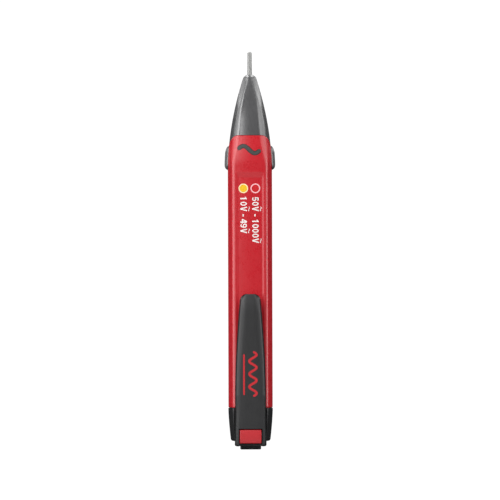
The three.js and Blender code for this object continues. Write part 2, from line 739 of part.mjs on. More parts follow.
function boardScrew(x, z) {
  const half = SCREW_SLOT_HALF;
  const head = rodAlongY(SCREW_HEAD_RADIUS, x, z, BOARD_FRONT_Y, SCREW_HEAD_Y, 24);
  const slot = box(x - 1, x + 1, SCREW_SLOT_Y, SCREW_HEAD_Y + 1, z - half, z + half);
  const crossSlot = box(x - half, x + half, SCREW_SLOT_Y, SCREW_HEAD_Y + 1, z - 1, z + 1);
  const shank = rodAlongY(SCREW_RADIUS, x, z, SCREW_TIP_Y, BOARD_FRONT_Y + 0.2, 16);
  return join(cut(head, slot, crossSlot), shank);
}

addPart('circuit_board', circuitBoard(), 0x1e5b3a, 0.5);
addPart('power_switch', powerSwitch(), 0x1c1c1e, 0.5);
addPart(
  'switch_plunger',
  rodAlongY(PLUNGER_RADIUS, 0, BUTTON_Z, PLUNGER_BACK_Y, BUTTON_BACK_Y, 24),
  0x2a2a2c,
  0.5,
);
addPart('power_button', powerButton(), 0x2c2c2d, 0.75);
addPart('buzzer', buzzer(), 0x1d1d1f, 0.45);
addPart('controller_chip', controllerChip(), 0x18181a, 0.5);
addPart('crystal', crystal(), 0xb9bbbe, 0.3, 0.9);
addPart('capacitor', rodAlongY(2, 2.8, 44.3, BOARD_FRONT_Y, BUZZER_TOP_Y, 28), 0xa9abae, 0.35, 0.8);
[35.2, 37.4, 39.6].forEach((z, i) => {
  addPart(`resistor_${i + 1}`, box(0.8, 2.8, BOARD_FRONT_Y, 4.75, z - 0.6, z + 0.6), 0x222326, 0.5);
});
[-1, 1].forEach((side, i) => {
  addPart(`board_screw_${i + 1}`, boardScrew(side * SCREW_X, SCREW_HEIGHTS[i]), 0xa6a8ab, 0.35, 0.9);
});

// ---------------------------------------------------------------- chassis, cells and contacts

function chassis() {
  const section = new THREE.Shape();
  const lipHalf = Math.sqrt(CHASSIS_BORE ** 2 - (CHASSIS_BACK_Y - CELL_Y) ** 2);
  const lipAngle = Math.asin((CHASSIS_BACK_Y - CELL_Y) / CHASSIS_BORE);
  section.moveTo(CHASSIS_HALF_WIDTH, CHASSIS_BACK_Y);
  section.lineTo(CHASSIS_HALF_WIDTH, CHASSIS_FRONT_Y);
  section.lineTo(-CHASSIS_HALF_WIDTH, CHASSIS_FRONT_Y);
  section.lineTo(-CHASSIS_HALF_WIDTH, CHASSIS_BACK_Y);
  section.lineTo(-lipHalf, CHASSIS_BACK_Y);
  for (const angle of steps(Math.PI - lipAngle, lipAngle, 20).slice(1, -1)) {
    section.lineTo(CHASSIS_BORE * Math.cos(angle), CELL_Y + CHASSIS_BORE * Math.sin(angle));
  }
  section.lineTo(lipHalf, CHASSIS_BACK_Y);
  const depth = CHASSIS_TOP - CHASSIS_BOTTOM;
  const trough = new THREE.ExtrudeGeometry(section, { depth, bevelEnabled: false });
  trough.translate(0, 0, CHASSIS_BOTTOM);
  const half = CHASSIS_END_HALF_WIDTH;
  const endWallTop = CHASSIS_TOP + CHASSIS_END_WALL;
  const endWall = join(
    box(-half, half, CHASSIS_END_BACK_Y, CHASSIS_FRONT_Y, CHASSIS_TOP, endWallTop),
    box(-half, half, CHASSIS_FRONT_Y - 0.45, CHASSIS_FRONT_Y, CHASSIS_TOP - 2, CHASSIS_TOP + 0.5),
  );
  const tabSlot = box(-1.3, 1.3, -1.7, -0.7, CHASSIS_TOP - 1, CHASSIS_TOP + 3);
  return cut(join(solid(trough), endWall), ...screwHoles(), tabSlot);
}

function cell(bottom) {
  const top = bottom + CELL_LENGTH;
  const shoulder = top - CELL_NUB_HEIGHT;
  const profile = [
    [0, bottom],
    [CELL_RADIUS - CELL_EDGE, bottom],
    [CELL_RADIUS, bottom + CELL_EDGE],
    [CELL_RADIUS, shoulder - CELL_EDGE],
    [CELL_RADIUS - CELL_EDGE, shoulder],
    [CELL_NUB_RADIUS, shoulder],
    [CELL_NUB_RADIUS, top],
    [0, top],
  ];
  return lathe(profile, 0, CELL_Y, 40);
}

function positiveContact() {
  return join(
    rodAlongZ(3.4, 0, CELL_Y, CHASSIS_TOP - 0.45, CHASSIS_TOP, 32),
    box(-1, 1, -1.4, -1, CHASSIS_TOP - 0.2, CHASSIS_TOP + 3.8),
  );
}

function returnContact() {
  const bottom = SPIGOT_TOP + 0.8;
  const half = 1.5;
  const plate = box(-half, half, BOARD_FRONT_Y, BOARD_FRONT_Y + CONTACT_THICKNESS, bottom, 32);
  const foot = box(-half, half, 3, BOARD_FRONT_Y + 0.1, bottom, bottom + CONTACT_THICKNESS);
  return join(plate, foot);
}

addPart('chassis', chassis(), 0x202124, 0.6);
addPart('battery_1', cell(CELL_BOTTOM), 0x2f5f9e, 0.35, 0.5);
addPart('battery_2', cell(CELL_BOTTOM + CELL_LENGTH + CELL_GAP), 0x2f5f9e, 0.35, 0.5);
addPart('positive_contact', positiveContact(), 0xc9c4b4, 0.3, 0.9);
addPart('return_contact', returnContact(), 0xc9c4b4, 0.3, 0.9);

// ---------------------------------------------------------------- tail cap

function capRing(z, inset) {
  const drop = CAP_TAPER * ((CAP_TOP - z) / CAP_TAPER_LENGTH) ** 1.5;
  const share = THREE.MathUtils.clamp((CAP_BOTTOM + CAP_BOTTOM_ROUND - z) / CAP_BOTTOM_ROUND, 0, 1);
  const round = CAP_BOTTOM_ROUND * (1 - Math.sqrt(1 - share ** 2));
  const halfWidth = CAP_TOP_HALF_WIDTH - drop - round;
  const halfDepth = BODY_HALF_DEPTH - drop - round;
  return sectionRing(halfWidth, halfDepth, inset, 0, z);
}

function capOuter() {
  const round = steps(CAP_BOTTOM, CAP_BOTTOM + CAP_BOTTOM_ROUND, 4);
  const taper = steps(CAP_BOTTOM + CAP_BOTTOM_ROUND, CAP_TOP, 5).slice(1);
  return loft([...round, ...taper].map((z) => capRing(z, 0)));
}

function ringBetween(outerInset, innerInset, z0, z1) {
  return cut(bodyLoft([z0, z1], outerInset), bodyLoft([z0 - 1, z1 + 1], innerInset));
}

// Hole for the latch's stem through the clip's root and the wall of the cap.
function stemHole() {
  const half = LATCH_STEM_HALF_WIDTH + LATCH_STEM_GAP;
  return box(-half, half, -FAR, -5, LATCH_STEM_BOTTOM - LATCH_STEM_GAP, LATCH_STEM_TOP + LATCH_STEM_GAP);
}

function endCap() {
  const hollowRings = [CAP_FLOOR, ...steps(CAP_FLOOR + 1, CAP_TOP, 4)].map((z) => capRing(z, SHELL_WALL));
  const rim = capRing(CAP_TOP, SHELL_WALL).map((point) => point.setZ(CAP_TOP + 1));
  const hollow = loft([...hollowRings, rim]);
  const pad = box(-CAP_PAD_HALF_WIDTH, CAP_PAD_HALF_WIDTH, -FAR, CAP_PAD_Y, 0, CAP_TOP + 1);
  const can = cut(capOuter(), hollow, pad, stemHole());
  const spigot = ringBetween(SPIGOT_INSET, SPIGOT_INNER_INSET, SPIGOT_BOTTOM, SPIGOT_TOP);
  const web = ringBetween(1, SPIGOT_INNER_INSET, SPIGOT_BOTTOM, CAP_TOP);
  const half = LATCH_STEM_HALF_WIDTH + 0.4;
  const slotBackY = CATCH_BACK_Y - 0.35;
  const catchSlot = box(-half, half, slotBackY, LATCH_HOOK_BACK_Y, HOOK_ROOM_TOP - 0.2, SPIGOT_TOP + 1);
  const pedestal = rodAlongZ(PEDESTAL_RADIUS, 0, PEDESTAL_Y, CAP_FLOOR - 0.5, PEDESTAL_TOP, 32);
  const hookRoom = box(-half, half, -FAR, HOOK_ROOM_Y, CAP_FLOOR, HOOK_ROOM_TOP);
  const tab = box(-TAB_HALF_WIDTH, TAB_HALF_WIDTH, TAB_BACK_Y, TAB_FRONT_Y, 0, TAIL_TAB_TOP);
  return join(can, cut(join(spigot, web), catchSlot), cut(pedestal, hookRoom), tab);
}

function capContact() {
  const top = PEDESTAL_TOP + CONTACT_THICKNESS;
  const half = 1.1;
  const frontY = 4.3;
  const stripTop = SPIGOT_TOP + 0.5;
  return join(
    rodAlongZ(PEDESTAL_RADIUS - 0.1, 0, PEDESTAL_Y, PEDESTAL_TOP, top, 32),
    box(-half, half, 0, frontY, PEDESTAL_TOP, top),
    box(-half, half, frontY - CONTACT_THICKNESS, frontY, PEDESTAL_TOP + 0.1, stripTop),
    box(-half, half, 2.9, frontY, stripTop - CONTACT_THICKNESS, stripTop),
  );
}

function cellSpring() {
  const wire = 0.35;
  const start = PEDESTAL_TOP + CONTACT_THICKNESS + wire;
  const length = CELL_BOTTOM - CONTACT_THICKNESS - wire - start;
  const geometry = wireAlong(new Helix(3.4, 2.3, length, 4.5), wire, 90, 6);
  geometry.translate(0, PEDESTAL_Y, start + 0.05);
  return solid(geometry);
}

addPart('end_cap', endCap(), 0x2b2b2c, 0.5);
addPart('cap_gasket', ringBetween(0.25, SHELL_WALL - 0.05, CAP_TOP, SHELL_BOTTOM), 0x141415, 0.8);
addPart('cap_contact', capContact(), 0xc9c4b4, 0.3, 0.9);
addPart('cell_spring', cellSpring(), 0xc4c6c8, 0.3, 0.9);

// ---------------------------------------------------------------- pocket clip and latch

function clipHalfWidth(z) {
  const taper = Math.max((z - CLIP_TAPER_START) / (CLIP_TOP - CLIP_TAPER_START), 0);
  const flare = Math.max((CLIP_FLEX_Z - z) / (CLIP_FLEX_Z - CLIP_BOTTOM), 0);
  return CLIP_HALF_WIDTH - CLIP_TAPER * taper ** 2 + CLIP_BASE_FLARE * flare;
}

// A section of the clip with a flat outer face, chamfered long edges and a flat inner face.
function clipRing(halfWidth, outerY, innerY, z) {
  const chamfer = CLIP_CHAMFER;
  return [
    [halfWidth, innerY],
    [-halfWidth, innerY],
    [-halfWidth, outerY + chamfer],
    [-halfWidth + CLIP_CHAMFER_RATIO * chamfer, outerY],
    [halfWidth - CLIP_CHAMFER_RATIO * chamfer, outerY],
    [halfWidth, outerY + chamfer],
  ].map(([x, y]) => new THREE.Vector3(x, y, z));
}

function clipBase() {
  const round = CLIP_BOTTOM_ROUND;
  const corner = steps(0, 1, 3).map((share) => {
    const inset = round * (1 - Math.sqrt(1 - (1 - share) ** 2));
    return clipRing(clipHalfWidth(CLIP_BOTTOM) - inset, CLIP_OUTER_Y, CAP_PAD_Y, CLIP_BOTTOM + share * round);
  });
  const lower = [...corner, clipRing(clipHalfWidth(CAP_TOP), CLIP_OUTER_Y, CAP_PAD_Y, CAP_TOP)];
  const root = steps(CAP_TOP, CLIP_FLEX_Z, 3).map((z, i) => {
    const sweep = Math.sin((i * Math.PI) / 6) ** 2 * 0.9 + 0.03 * i;
    const innerY = THREE.MathUtils.lerp(CLIP_ROOT_Y, CLIP_INNER_Y, sweep);
    return clipRing(clipHalfWidth(z), CLIP_OUTER_Y, innerY, z);
  });
  const half = LATCH_HALF_WIDTH + LATCH_WINDOW_GAP;
  const pocket = box(-half, half, -FAR, LATCH_POCKET_Y, 0, LATCH_TOP + LATCH_WINDOW_GAP);
  const springHole = rodAlongY(LATCH_SPRING_RADIUS + 2 * LATCH_SPRING_WIRE, 0, LATCH_SPRING_Z, -FAR, 0, 20);
  return cut(join(loft(lower), loft(root)), pocket, stemHole(), springHole);
}

// The blade: level along its length, then curving in to a nub that holds the pocket, with a turned-up end.
function clipArm() {
  const level = [CLIP_ARM_BOTTOM, CLIP_TAPER_START, ...steps(34, 50, 4)];
  const rings = [...level, ...steps(52, CLIP_TOP, 10)].map((z) => {
    const end = Math.max((z - CLIP_END_START) / (CLIP_TOP - CLIP_END_START), 0);
    const nub = CLIP_NUB_HEIGHT * Math.exp(-(((z - CLIP_NUB_Z) / CLIP_NUB_SPREAD) ** 2));
    const cornerShare = (z - (CLIP_TOP - CLIP_END_CORNER_LENGTH)) / CLIP_END_CORNER_LENGTH;
    const reach = THREE.MathUtils.clamp(cornerShare, 0, 1);
    const corner = CLIP_END_CORNER_WIDTH * (1 - Math.sqrt(1 - reach ** 2));
    const outerY = CLIP_OUTER_Y + CLIP_END_DROP * end ** 2;
    return clipRing(clipHalfWidth(z) - corner, outerY, CLIP_INNER_Y + nub, z);
  });
  return loft(rings);
}

function latchButton() {
  const head = box(-LATCH_HALF_WIDTH, LATCH_HALF_WIDTH, LATCH_FACE_Y, LATCH_BACK_Y, LATCH_BOTTOM, LATCH_TOP);
  const pocketRadius = LATCH_SPRING_RADIUS + 2 * LATCH_SPRING_WIRE;
  const pocketEnd = LATCH_FACE_Y + LATCH_SPRING_FRONT_WALL;
  const springPocket = rodAlongY(pocketRadius, 0, LATCH_SPRING_Z, pocketEnd, 0, 20);
  const half = LATCH_STEM_HALF_WIDTH;
  const hookRoot = LATCH_STEM_TOP - 0.2;
  return join(
    cut(head, springPocket),
    box(-half, half, LATCH_BACK_Y - 0.5, LATCH_HOOK_FRONT_Y, LATCH_STEM_BOTTOM, LATCH_STEM_TOP),
    box(-half, half, LATCH_HOOK_BACK_Y, LATCH_HOOK_FRONT_Y, hookRoot, LATCH_HOOK_TOP),
    box(-half, half, LATCH_HOOK_LIP_Y, LATCH_HOOK_BACK_Y + 0.4, LATCH_HOOK_LIP_BOTTOM, LATCH_HOOK_TOP),
  );
}

function latchSpring() {
  const back = CAP_PAD_Y - LATCH_SPRING_WIRE - 0.05;
  const helix = new Helix(LATCH_SPRING_RADIUS, LATCH_SPRING_RADIUS, LATCH_SPRING_LENGTH, 4);
  const geometry = wireAlong(helix, LATCH_SPRING_WIRE, 48, 6);
  geometry.rotateX(Math.PI / 2);
  geometry.translate(0, back, LATCH_SPRING_Z);
  return solid(geometry);
}

addPart('clip_base', clipBase(), 0x39393a, 0.55);
addPart('clip_arm', clipArm(), 0x3a3a3a, 0.55);
addPart('latch_button', latchButton(), 0xc23a3d, 0.4);
addPart('latch_spring', latchSpring(), 0xc4c6c8, 0.3, 0.9);

export default group;
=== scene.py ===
"""Looks of the non contact voltage tester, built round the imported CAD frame.

Shapes are worked out in millimetres in the CAD frame, with +Z to the probe and -Y out of the clip side.
They are turned into metres when a mesh is made.
"""

import json
import math

import bmesh
import bpy
import numpy as np
from mathutils import Matrix, Vector

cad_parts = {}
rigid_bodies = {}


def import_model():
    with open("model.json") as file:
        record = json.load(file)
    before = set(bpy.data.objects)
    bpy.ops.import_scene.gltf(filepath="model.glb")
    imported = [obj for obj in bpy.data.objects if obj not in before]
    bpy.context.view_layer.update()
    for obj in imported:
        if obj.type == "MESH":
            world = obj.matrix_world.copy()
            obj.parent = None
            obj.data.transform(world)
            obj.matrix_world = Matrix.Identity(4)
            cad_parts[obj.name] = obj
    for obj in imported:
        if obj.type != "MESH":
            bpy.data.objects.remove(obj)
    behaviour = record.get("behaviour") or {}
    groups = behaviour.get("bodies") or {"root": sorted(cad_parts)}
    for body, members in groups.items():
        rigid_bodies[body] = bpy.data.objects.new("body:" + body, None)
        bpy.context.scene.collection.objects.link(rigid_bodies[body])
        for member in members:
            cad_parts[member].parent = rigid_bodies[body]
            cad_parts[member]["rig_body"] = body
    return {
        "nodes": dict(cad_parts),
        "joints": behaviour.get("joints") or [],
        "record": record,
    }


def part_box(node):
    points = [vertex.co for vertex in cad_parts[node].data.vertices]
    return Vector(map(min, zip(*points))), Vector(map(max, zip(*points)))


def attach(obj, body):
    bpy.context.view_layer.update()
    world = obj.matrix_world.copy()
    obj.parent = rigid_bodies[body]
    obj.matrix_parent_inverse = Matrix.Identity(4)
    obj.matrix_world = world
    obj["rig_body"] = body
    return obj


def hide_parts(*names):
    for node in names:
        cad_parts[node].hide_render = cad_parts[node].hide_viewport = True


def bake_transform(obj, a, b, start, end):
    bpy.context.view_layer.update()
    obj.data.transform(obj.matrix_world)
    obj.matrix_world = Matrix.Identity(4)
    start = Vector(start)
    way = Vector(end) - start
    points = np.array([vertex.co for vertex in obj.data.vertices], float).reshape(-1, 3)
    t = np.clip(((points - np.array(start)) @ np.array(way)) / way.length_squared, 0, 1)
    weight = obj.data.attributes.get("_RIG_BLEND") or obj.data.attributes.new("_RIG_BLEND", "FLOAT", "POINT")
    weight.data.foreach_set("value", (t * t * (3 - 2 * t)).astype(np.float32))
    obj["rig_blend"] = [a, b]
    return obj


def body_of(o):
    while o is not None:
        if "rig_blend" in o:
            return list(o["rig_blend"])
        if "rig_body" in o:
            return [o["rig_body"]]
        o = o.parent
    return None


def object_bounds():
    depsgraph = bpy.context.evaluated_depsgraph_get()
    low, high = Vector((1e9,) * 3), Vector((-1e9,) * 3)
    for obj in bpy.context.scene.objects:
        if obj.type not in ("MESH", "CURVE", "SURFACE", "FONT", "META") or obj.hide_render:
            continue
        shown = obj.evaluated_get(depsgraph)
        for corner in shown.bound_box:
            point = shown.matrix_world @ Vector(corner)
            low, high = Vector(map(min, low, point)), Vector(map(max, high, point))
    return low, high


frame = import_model()
cad_low, cad_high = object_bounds()

MM = 0.001


def span(node):
    """Lowest and highest corner of a CAD node, in millimetres."""
    low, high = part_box(node)
    return low / MM, high / MM


# --- places taken from the frame, mm

front_low, front_high = span("front_shell")
rear_low, rear_high = span("rear_shell")
lens_high = span("nose_lens")[1]
probe_low, probe_high = span("probe_tip")
cap_low, cap_high = span("end_cap")
gasket_low, gasket_high = span("cap_gasket")
base_low, base_high = span("clip_base")
arm_low, arm_high = span("clip_arm")
latch_low, latch_high = span("latch_button")
key_low, key_high = span("power_button")
buzzer_low, buzzer_high = span("buzzer")

BODY_W = front_high.x
BODY_D = front_high.y
SHELL_BOTTOM = front_low.z
NOSE_START = front_high.z
TONGUE_TOP = rear_high.z
NOSE_TOP = lens_high.z
PROBE_TOP = probe_high.z
CAP_TOP = gasket_low.z

# The moulded section: flanks that lean in to the corner, a rounded edge and a crowned broad face.
CORNER_SHARE = 0.807
EDGE_DEPTH_SHARE = 0.965
EDGE_RADIUS = 1.6
LEAST_RADIUS = 0.25
CROWN_ANGLE = 0.1
FLANK_BULGE = 0.05
SHELL_WALL = 1.5

# How the section changes up the nose: its edge gets softer, then crisp again, and its end is round.
NOSE_LEAN = 0.5
LEAN_POWER = 4
ROUND_POWER = 9
NOSE_SOFTER = 1.4
SOFT_BY = 0.35
CRISP_AGAIN = (0.45, 0.85)
CRISP_SHARE = 0.9
NOSE_POWER = 1.94
NOSE_WALL = 1.3
NOSE_TIP = 2.56
NOSE_HOLE = 1.12
NOSE_SHOULDER = NOSE_TOP - 1.0
SHOULDER_POWER = 1.7

TONGUE_FLAT = 4.8
TONGUE_CORNER = (3.5, 5.4)
TONGUE_LIFT = 0.22
SEAM_GAP = 0.15
GUARD_RISE = lens_high.x - BODY_W + 0.12
GUARD_SPAN = (NOSE_START + 0.6, NOSE_START + 10.4)

FIT_ROUNDS = 6  # rounds in which a height that depends on x settles

# --- mesh helpers


def put_in_scene(name, data):
    obj = bpy.data.objects.new(name, data)
    bpy.context.scene.collection.objects.link(obj)
    return obj


def new_object(name, vertices_mm, faces, smooth_angle=35):
    mesh = bpy.data.meshes.new(name)
    mesh.from_pydata([tuple(float(c) * MM for c in v) for v in vertices_mm], [], faces)
    return tidy_mesh(put_in_scene(name, mesh), smooth_angle)


def tidy_mesh(obj, smooth_angle=35):
    """Welds doubles, turns the faces outwards and marks edges sharper than the angle."""
    work = bmesh.new()
    work.from_mesh(obj.data)
    bmesh.ops.remove_doubles(work, verts=work.verts, dist=1e-7)
    bmesh.ops.dissolve_degenerate(work, edges=work.edges, dist=1e-8)
    bmesh.ops.recalc_face_normals(work, faces=work.faces)
    limit = math.radians(smooth_angle)
    for face in work.faces:
        face.smooth = True
    for edge in work.edges:
        edge.smooth = not (edge.is_manifold and edge.calc_face_angle(0) > limit)
    work.to_mesh(obj.data)
    work.free()
    return obj


def modified(obj, kind, **settings):
    """Puts the result of a modifier into the mesh."""
    modifier = obj.modifiers.new("step", kind)
    for key, value in settings.items():
        setattr(modifier, key, value)
    graph = bpy.context.evaluated_depsgraph_get()
    graph.update()
    mesh = bpy.data.meshes.new_from_object(obj.evaluated_get(graph))
    obj.modifiers.clear()
    obj.data = mesh
    return obj


def bevel_sharp(obj, width_mm, angle=35, segments=2):
    """Rounds every edge sharper than the angle with real geometry."""
    limit = {"limit_method": "ANGLE", "angle_limit": math.radians(angle)}
    return tidy_mesh(modified(obj, "BEVEL", width=width_mm * MM, segments=segments, **limit))


def boolean(obj, cutters, operation="DIFFERENCE"):
    for cutter in cutters:
        modified(obj, "BOOLEAN", object=cutter, operation=operation, solver="EXACT")
        bpy.data.objects.remove(cutter)
    return tidy_mesh(obj)


def even_shading(obj):
    """Lets the large faces set the shading beside holes that were cut into them."""
    return modified(obj, "WEIGHTED_NORMAL", keep_sharp=True)


def grid_faces(rows, columns, start=0, wrap=False):
    faces = []
    last = columns if wrap else columns - 1
    for i in range(rows - 1):
        for j in range(last):
            a = start + i * columns + j
            b = start + i * columns + (j + 1) % columns
            faces.append((a, b, b + columns, a + columns))
    return faces


def thick_shell(name, outer, inner):
    """A closed wall between two grids of the same size, each an array rows x columns x 3."""
    rows, columns = outer.shape[:2]
    count = rows * columns
    vertices = np.concatenate([outer.reshape(-1, 3), inner.reshape(-1, 3)])
    faces = grid_faces(rows, columns) + grid_faces(rows, columns, count)
    at = np.arange(count).reshape(rows, columns)
    border = np.concatenate([at[0], at[1:, -1], at[-1, -2::-1], at[-2:0:-1, 0]]).tolist()
    for a, b in zip(border, border[1:] + border[:1]):
        faces.append((a, b, b + count, a + count))
    return new_object(name, vertices, faces)


def loft(name, rings):
    """A closed skin over rings with the same number of points; each end is one flat face."""
    columns = len(rings[0])
    vertices = np.concatenate([np.asarray(ring, float) for ring in rings])
    faces = grid_faces(len(rings), columns, wrap=True)
    faces.append(tuple(range(columns)))
    faces.append(tuple(range((len(rings) - 1) * columns, len(rings) * columns)))
    return new_object(name, vertices, faces)


def prism(name, outline, y_values):
    """An outline of (x, z) points carried along Y."""
    return loft(name, [[(x, y, z) for x, z in outline] for y in y_values])


def ring_wall(name, outer_rings, inner_rings):
    """A closed tube wall between an outer and an inner row of rings."""
    rings = [np.asarray(r, float) for r in outer_rings + inner_rings[::-1]]
    columns = len(rings[0])
    faces = grid_faces(len(rings), columns, wrap=True)
    last = (len(rings) - 1) * columns
    for j in range(columns):
        k = (j + 1) % columns
        faces.append((last + j, last + k, k, j))
    return new_object(name, np.concatenate(rings), faces)


def lathe(name, profile, centre_y=0, segments=64):
    """Turns a profile of (radius, z) points round a line along Z."""
    angles = np.linspace(0, 2 * math.pi, segments, endpoint=False)
    vertices = [(r * math.cos(a), centre_y + r * math.sin(a), z) for r, z in profile for a in angles]
    return new_object(name, vertices, grid_faces(len(profile), segments, wrap=True))


def block(name, low, high, radius=0, segments=3):
    """A box with rounded edges, its corners given in millimetres."""
    work = bmesh.new()
    bmesh.ops.create_cube(work, size=1)
    for v in work.verts:
        v.co = Vector(((low[k] + high[k]) / 2 + v.co[k] * (high[k] - low[k])) * MM for k in range(3))
    if radius:
        rounding = {"offset": radius * MM, "segments": segments, "profile": 0.5, "affect": "EDGES"}
        bmesh.ops.bevel(work, geom=work.edges[:], **rounding)
    mesh = bpy.data.meshes.new(name)
    work.to_mesh(mesh)
    work.free()
    return tidy_mesh(put_in_scene(name, mesh), 50)


def join_objects(target, others):
    """Puts other meshes into the target as separate closed shells of one piece."""
    work = bmesh.new()
    work.from_mesh(target.data)
    for other in others:
        work.from_mesh(other.data)
        bpy.data.objects.remove(other)
    work.to_mesh(target.data)
    work.free()
    return target


def smoothstep(low, high, value):
    t = np.clip((value - low) / (high - low), 0, 1)
    return t * t * (3 - 2 * t)


def quarter_round(value):
    """0 at 0 and 1 at 1, along a quarter of a circle that starts level."""
    return 1 - np.sqrt(1 - np.clip(value, 0, 1) ** 2)


# --- the casing's section

FLANK, ARC, FACE = 0, 1, 2


def stations(face_marks, flank_steps=8, arc_steps=9):
    """Stations of one half of the section, from the +X parting line over the broad face to the -X one.

    Each is a kind, a parameter and the side of X it lies on.
    """
    right = [(FLANK, t, 1) for t in np.linspace(0, 1, flank_steps, endpoint=False)]
    right += [(ARC, t, 1) for t in np.linspace(0, 1, arc_steps)]
    left = [(kind, t, -1) for kind, t, _ in reversed(right)]
    face = [(FACE, mark, 1) for mark in face_marks]
    return np.array(right + face + left, float).T


def even_stations(face_steps, flank_steps=8, arc_steps=9):
    return stations(np.linspace(1, -1, face_steps)[1:-1], flank_steps, arc_steps)


def section(width, depth, share, marks, side, inset=0.0):
    """x and y of the stations on a section of that half-width and half-depth.

    share is 0 on the casing and 1 at the nose's shoulder. width, depth and share may be arrays with one
    column for each station.
    """
    kind, t, sign = marks
    edge_depth = depth * EDGE_DEPTH_SHARE
    slope = width * (1 - CORNER_SHARE + NOSE_LEAN * share**LEAN_POWER) / edge_depth
    slant = np.hypot(1, slope)
    w = width - inset * slant
    d = edge_depth - inset
    crisp = 1 - CRISP_SHARE * smoothstep(*CRISP_AGAIN, share)
    swell = 1 + NOSE_SOFTER * smoothstep(0, SOFT_BY, share) * crisp
    radius = np.maximum(EDGE_RADIUS * swell * width / BODY_W - inset, LEAST_RADIUS)
    centre_x = w - slope * (d - radius) - radius * slant
    centre_y = d - radius
    first = np.arctan(slope)
    last = math.pi / 2 - CROWN_ANGLE
    start_x = centre_x + radius * np.cos(first)
    start_y = centre_y + radius * np.sin(first)
    angle = first + (last - first) * t
    edge_x = centre_x + radius * math.cos(last)
    edge_y = centre_y + radius * math.sin(last)
    bulge = FLANK_BULGE * width / BODY_W * 4 * t * (1 - t)
    kinds = [kind == FLANK, kind == ARC]
    crown = edge_x * math.tan(CROWN_ANGLE) / 2 * (1 - t * t)
    x = np.select(kinds, [w + (start_x - w) * t + bulge, centre_x + radius * np.cos(angle)], edge_x * t)
    y = np.select(kinds, [start_y * t, centre_y + radius * np.sin(angle)], edge_y + crown)
    reach = np.hypot(x, y)
    bearing = np.arctan2(y, x)
    round_reach = 1 / np.hypot(np.cos(bearing) / (width - inset), np.sin(bearing) / (depth - inset))
    reach = reach + (round_reach - reach) * share**ROUND_POWER
    return sign * reach * np.cos(bearing), side * reach * np.sin(bearing)


def on_heights(z, x, y):
    return np.stack([x, y, np.broadcast_to(z, x.shape)], axis=-1)


def body_grid(z, marks, side, inset=0.0):
    """Points of the casing and nose over heights z, an array rows x stations."""
    share = np.clip((z - NOSE_START) / (NOSE_SHOULDER - NOSE_START), 0, 1)
    taper = share**NOSE_POWER
    width = BODY_W - (BODY_W - NOSE_TIP) * taper
    depth = BODY_D - (BODY_D - NOSE_TIP) * taper
    return on_heights(z, *section(width, depth, share, marks, side, inset))


def spread(rows, marks):
    """Heights repeated for each station."""
    return np.array(rows, float)[:, None] * np.ones(marks.shape[1])


def half_ring(grid_of, z, marks, side, inset=0.0):
    return grid_of(spread([z], marks), marks, side, inset)[0]


def full_ring(grid_of, z, marks, inset):
    back = half_ring(grid_of, z, marks, -1, inset)
    return np.concatenate([half_ring(grid_of, z, marks, 1, inset), back[::-1][1:-1]])


def tongue_height(x):
    """Height of the rear shell's upper edge at a distance from the middle."""
    corner_x, corner_z = TONGUE_CORNER
    return TONGUE_TOP - corner_z * quarter_round((np.abs(x) - TONGUE_FLAT) / corner_x)


def tongue_rise(z):
    return smoothstep(NOSE_START, NOSE_START + 5, z)


def rear_surface_y(x, z):
    """y of the rear face, for marks that lie on it."""
    ring = half_ring(body_grid, z, even_stations(41), -1, -TONGUE_LIFT * tongue_rise(z))
    order = np.argsort(ring[:, 0])
    return np.interp(x, ring[order, 0], ring[order, 1])


# --- materials


def srgb(code):
    channels = [int(code[i : i + 2], 16) / 255 for i in (0, 2, 4)]
    linear = [c / 12.92 if c <= 0.04045 else ((c + 0.055) / 1.055) ** 2.4 for c in channels]
    return (*linear, 1.0)


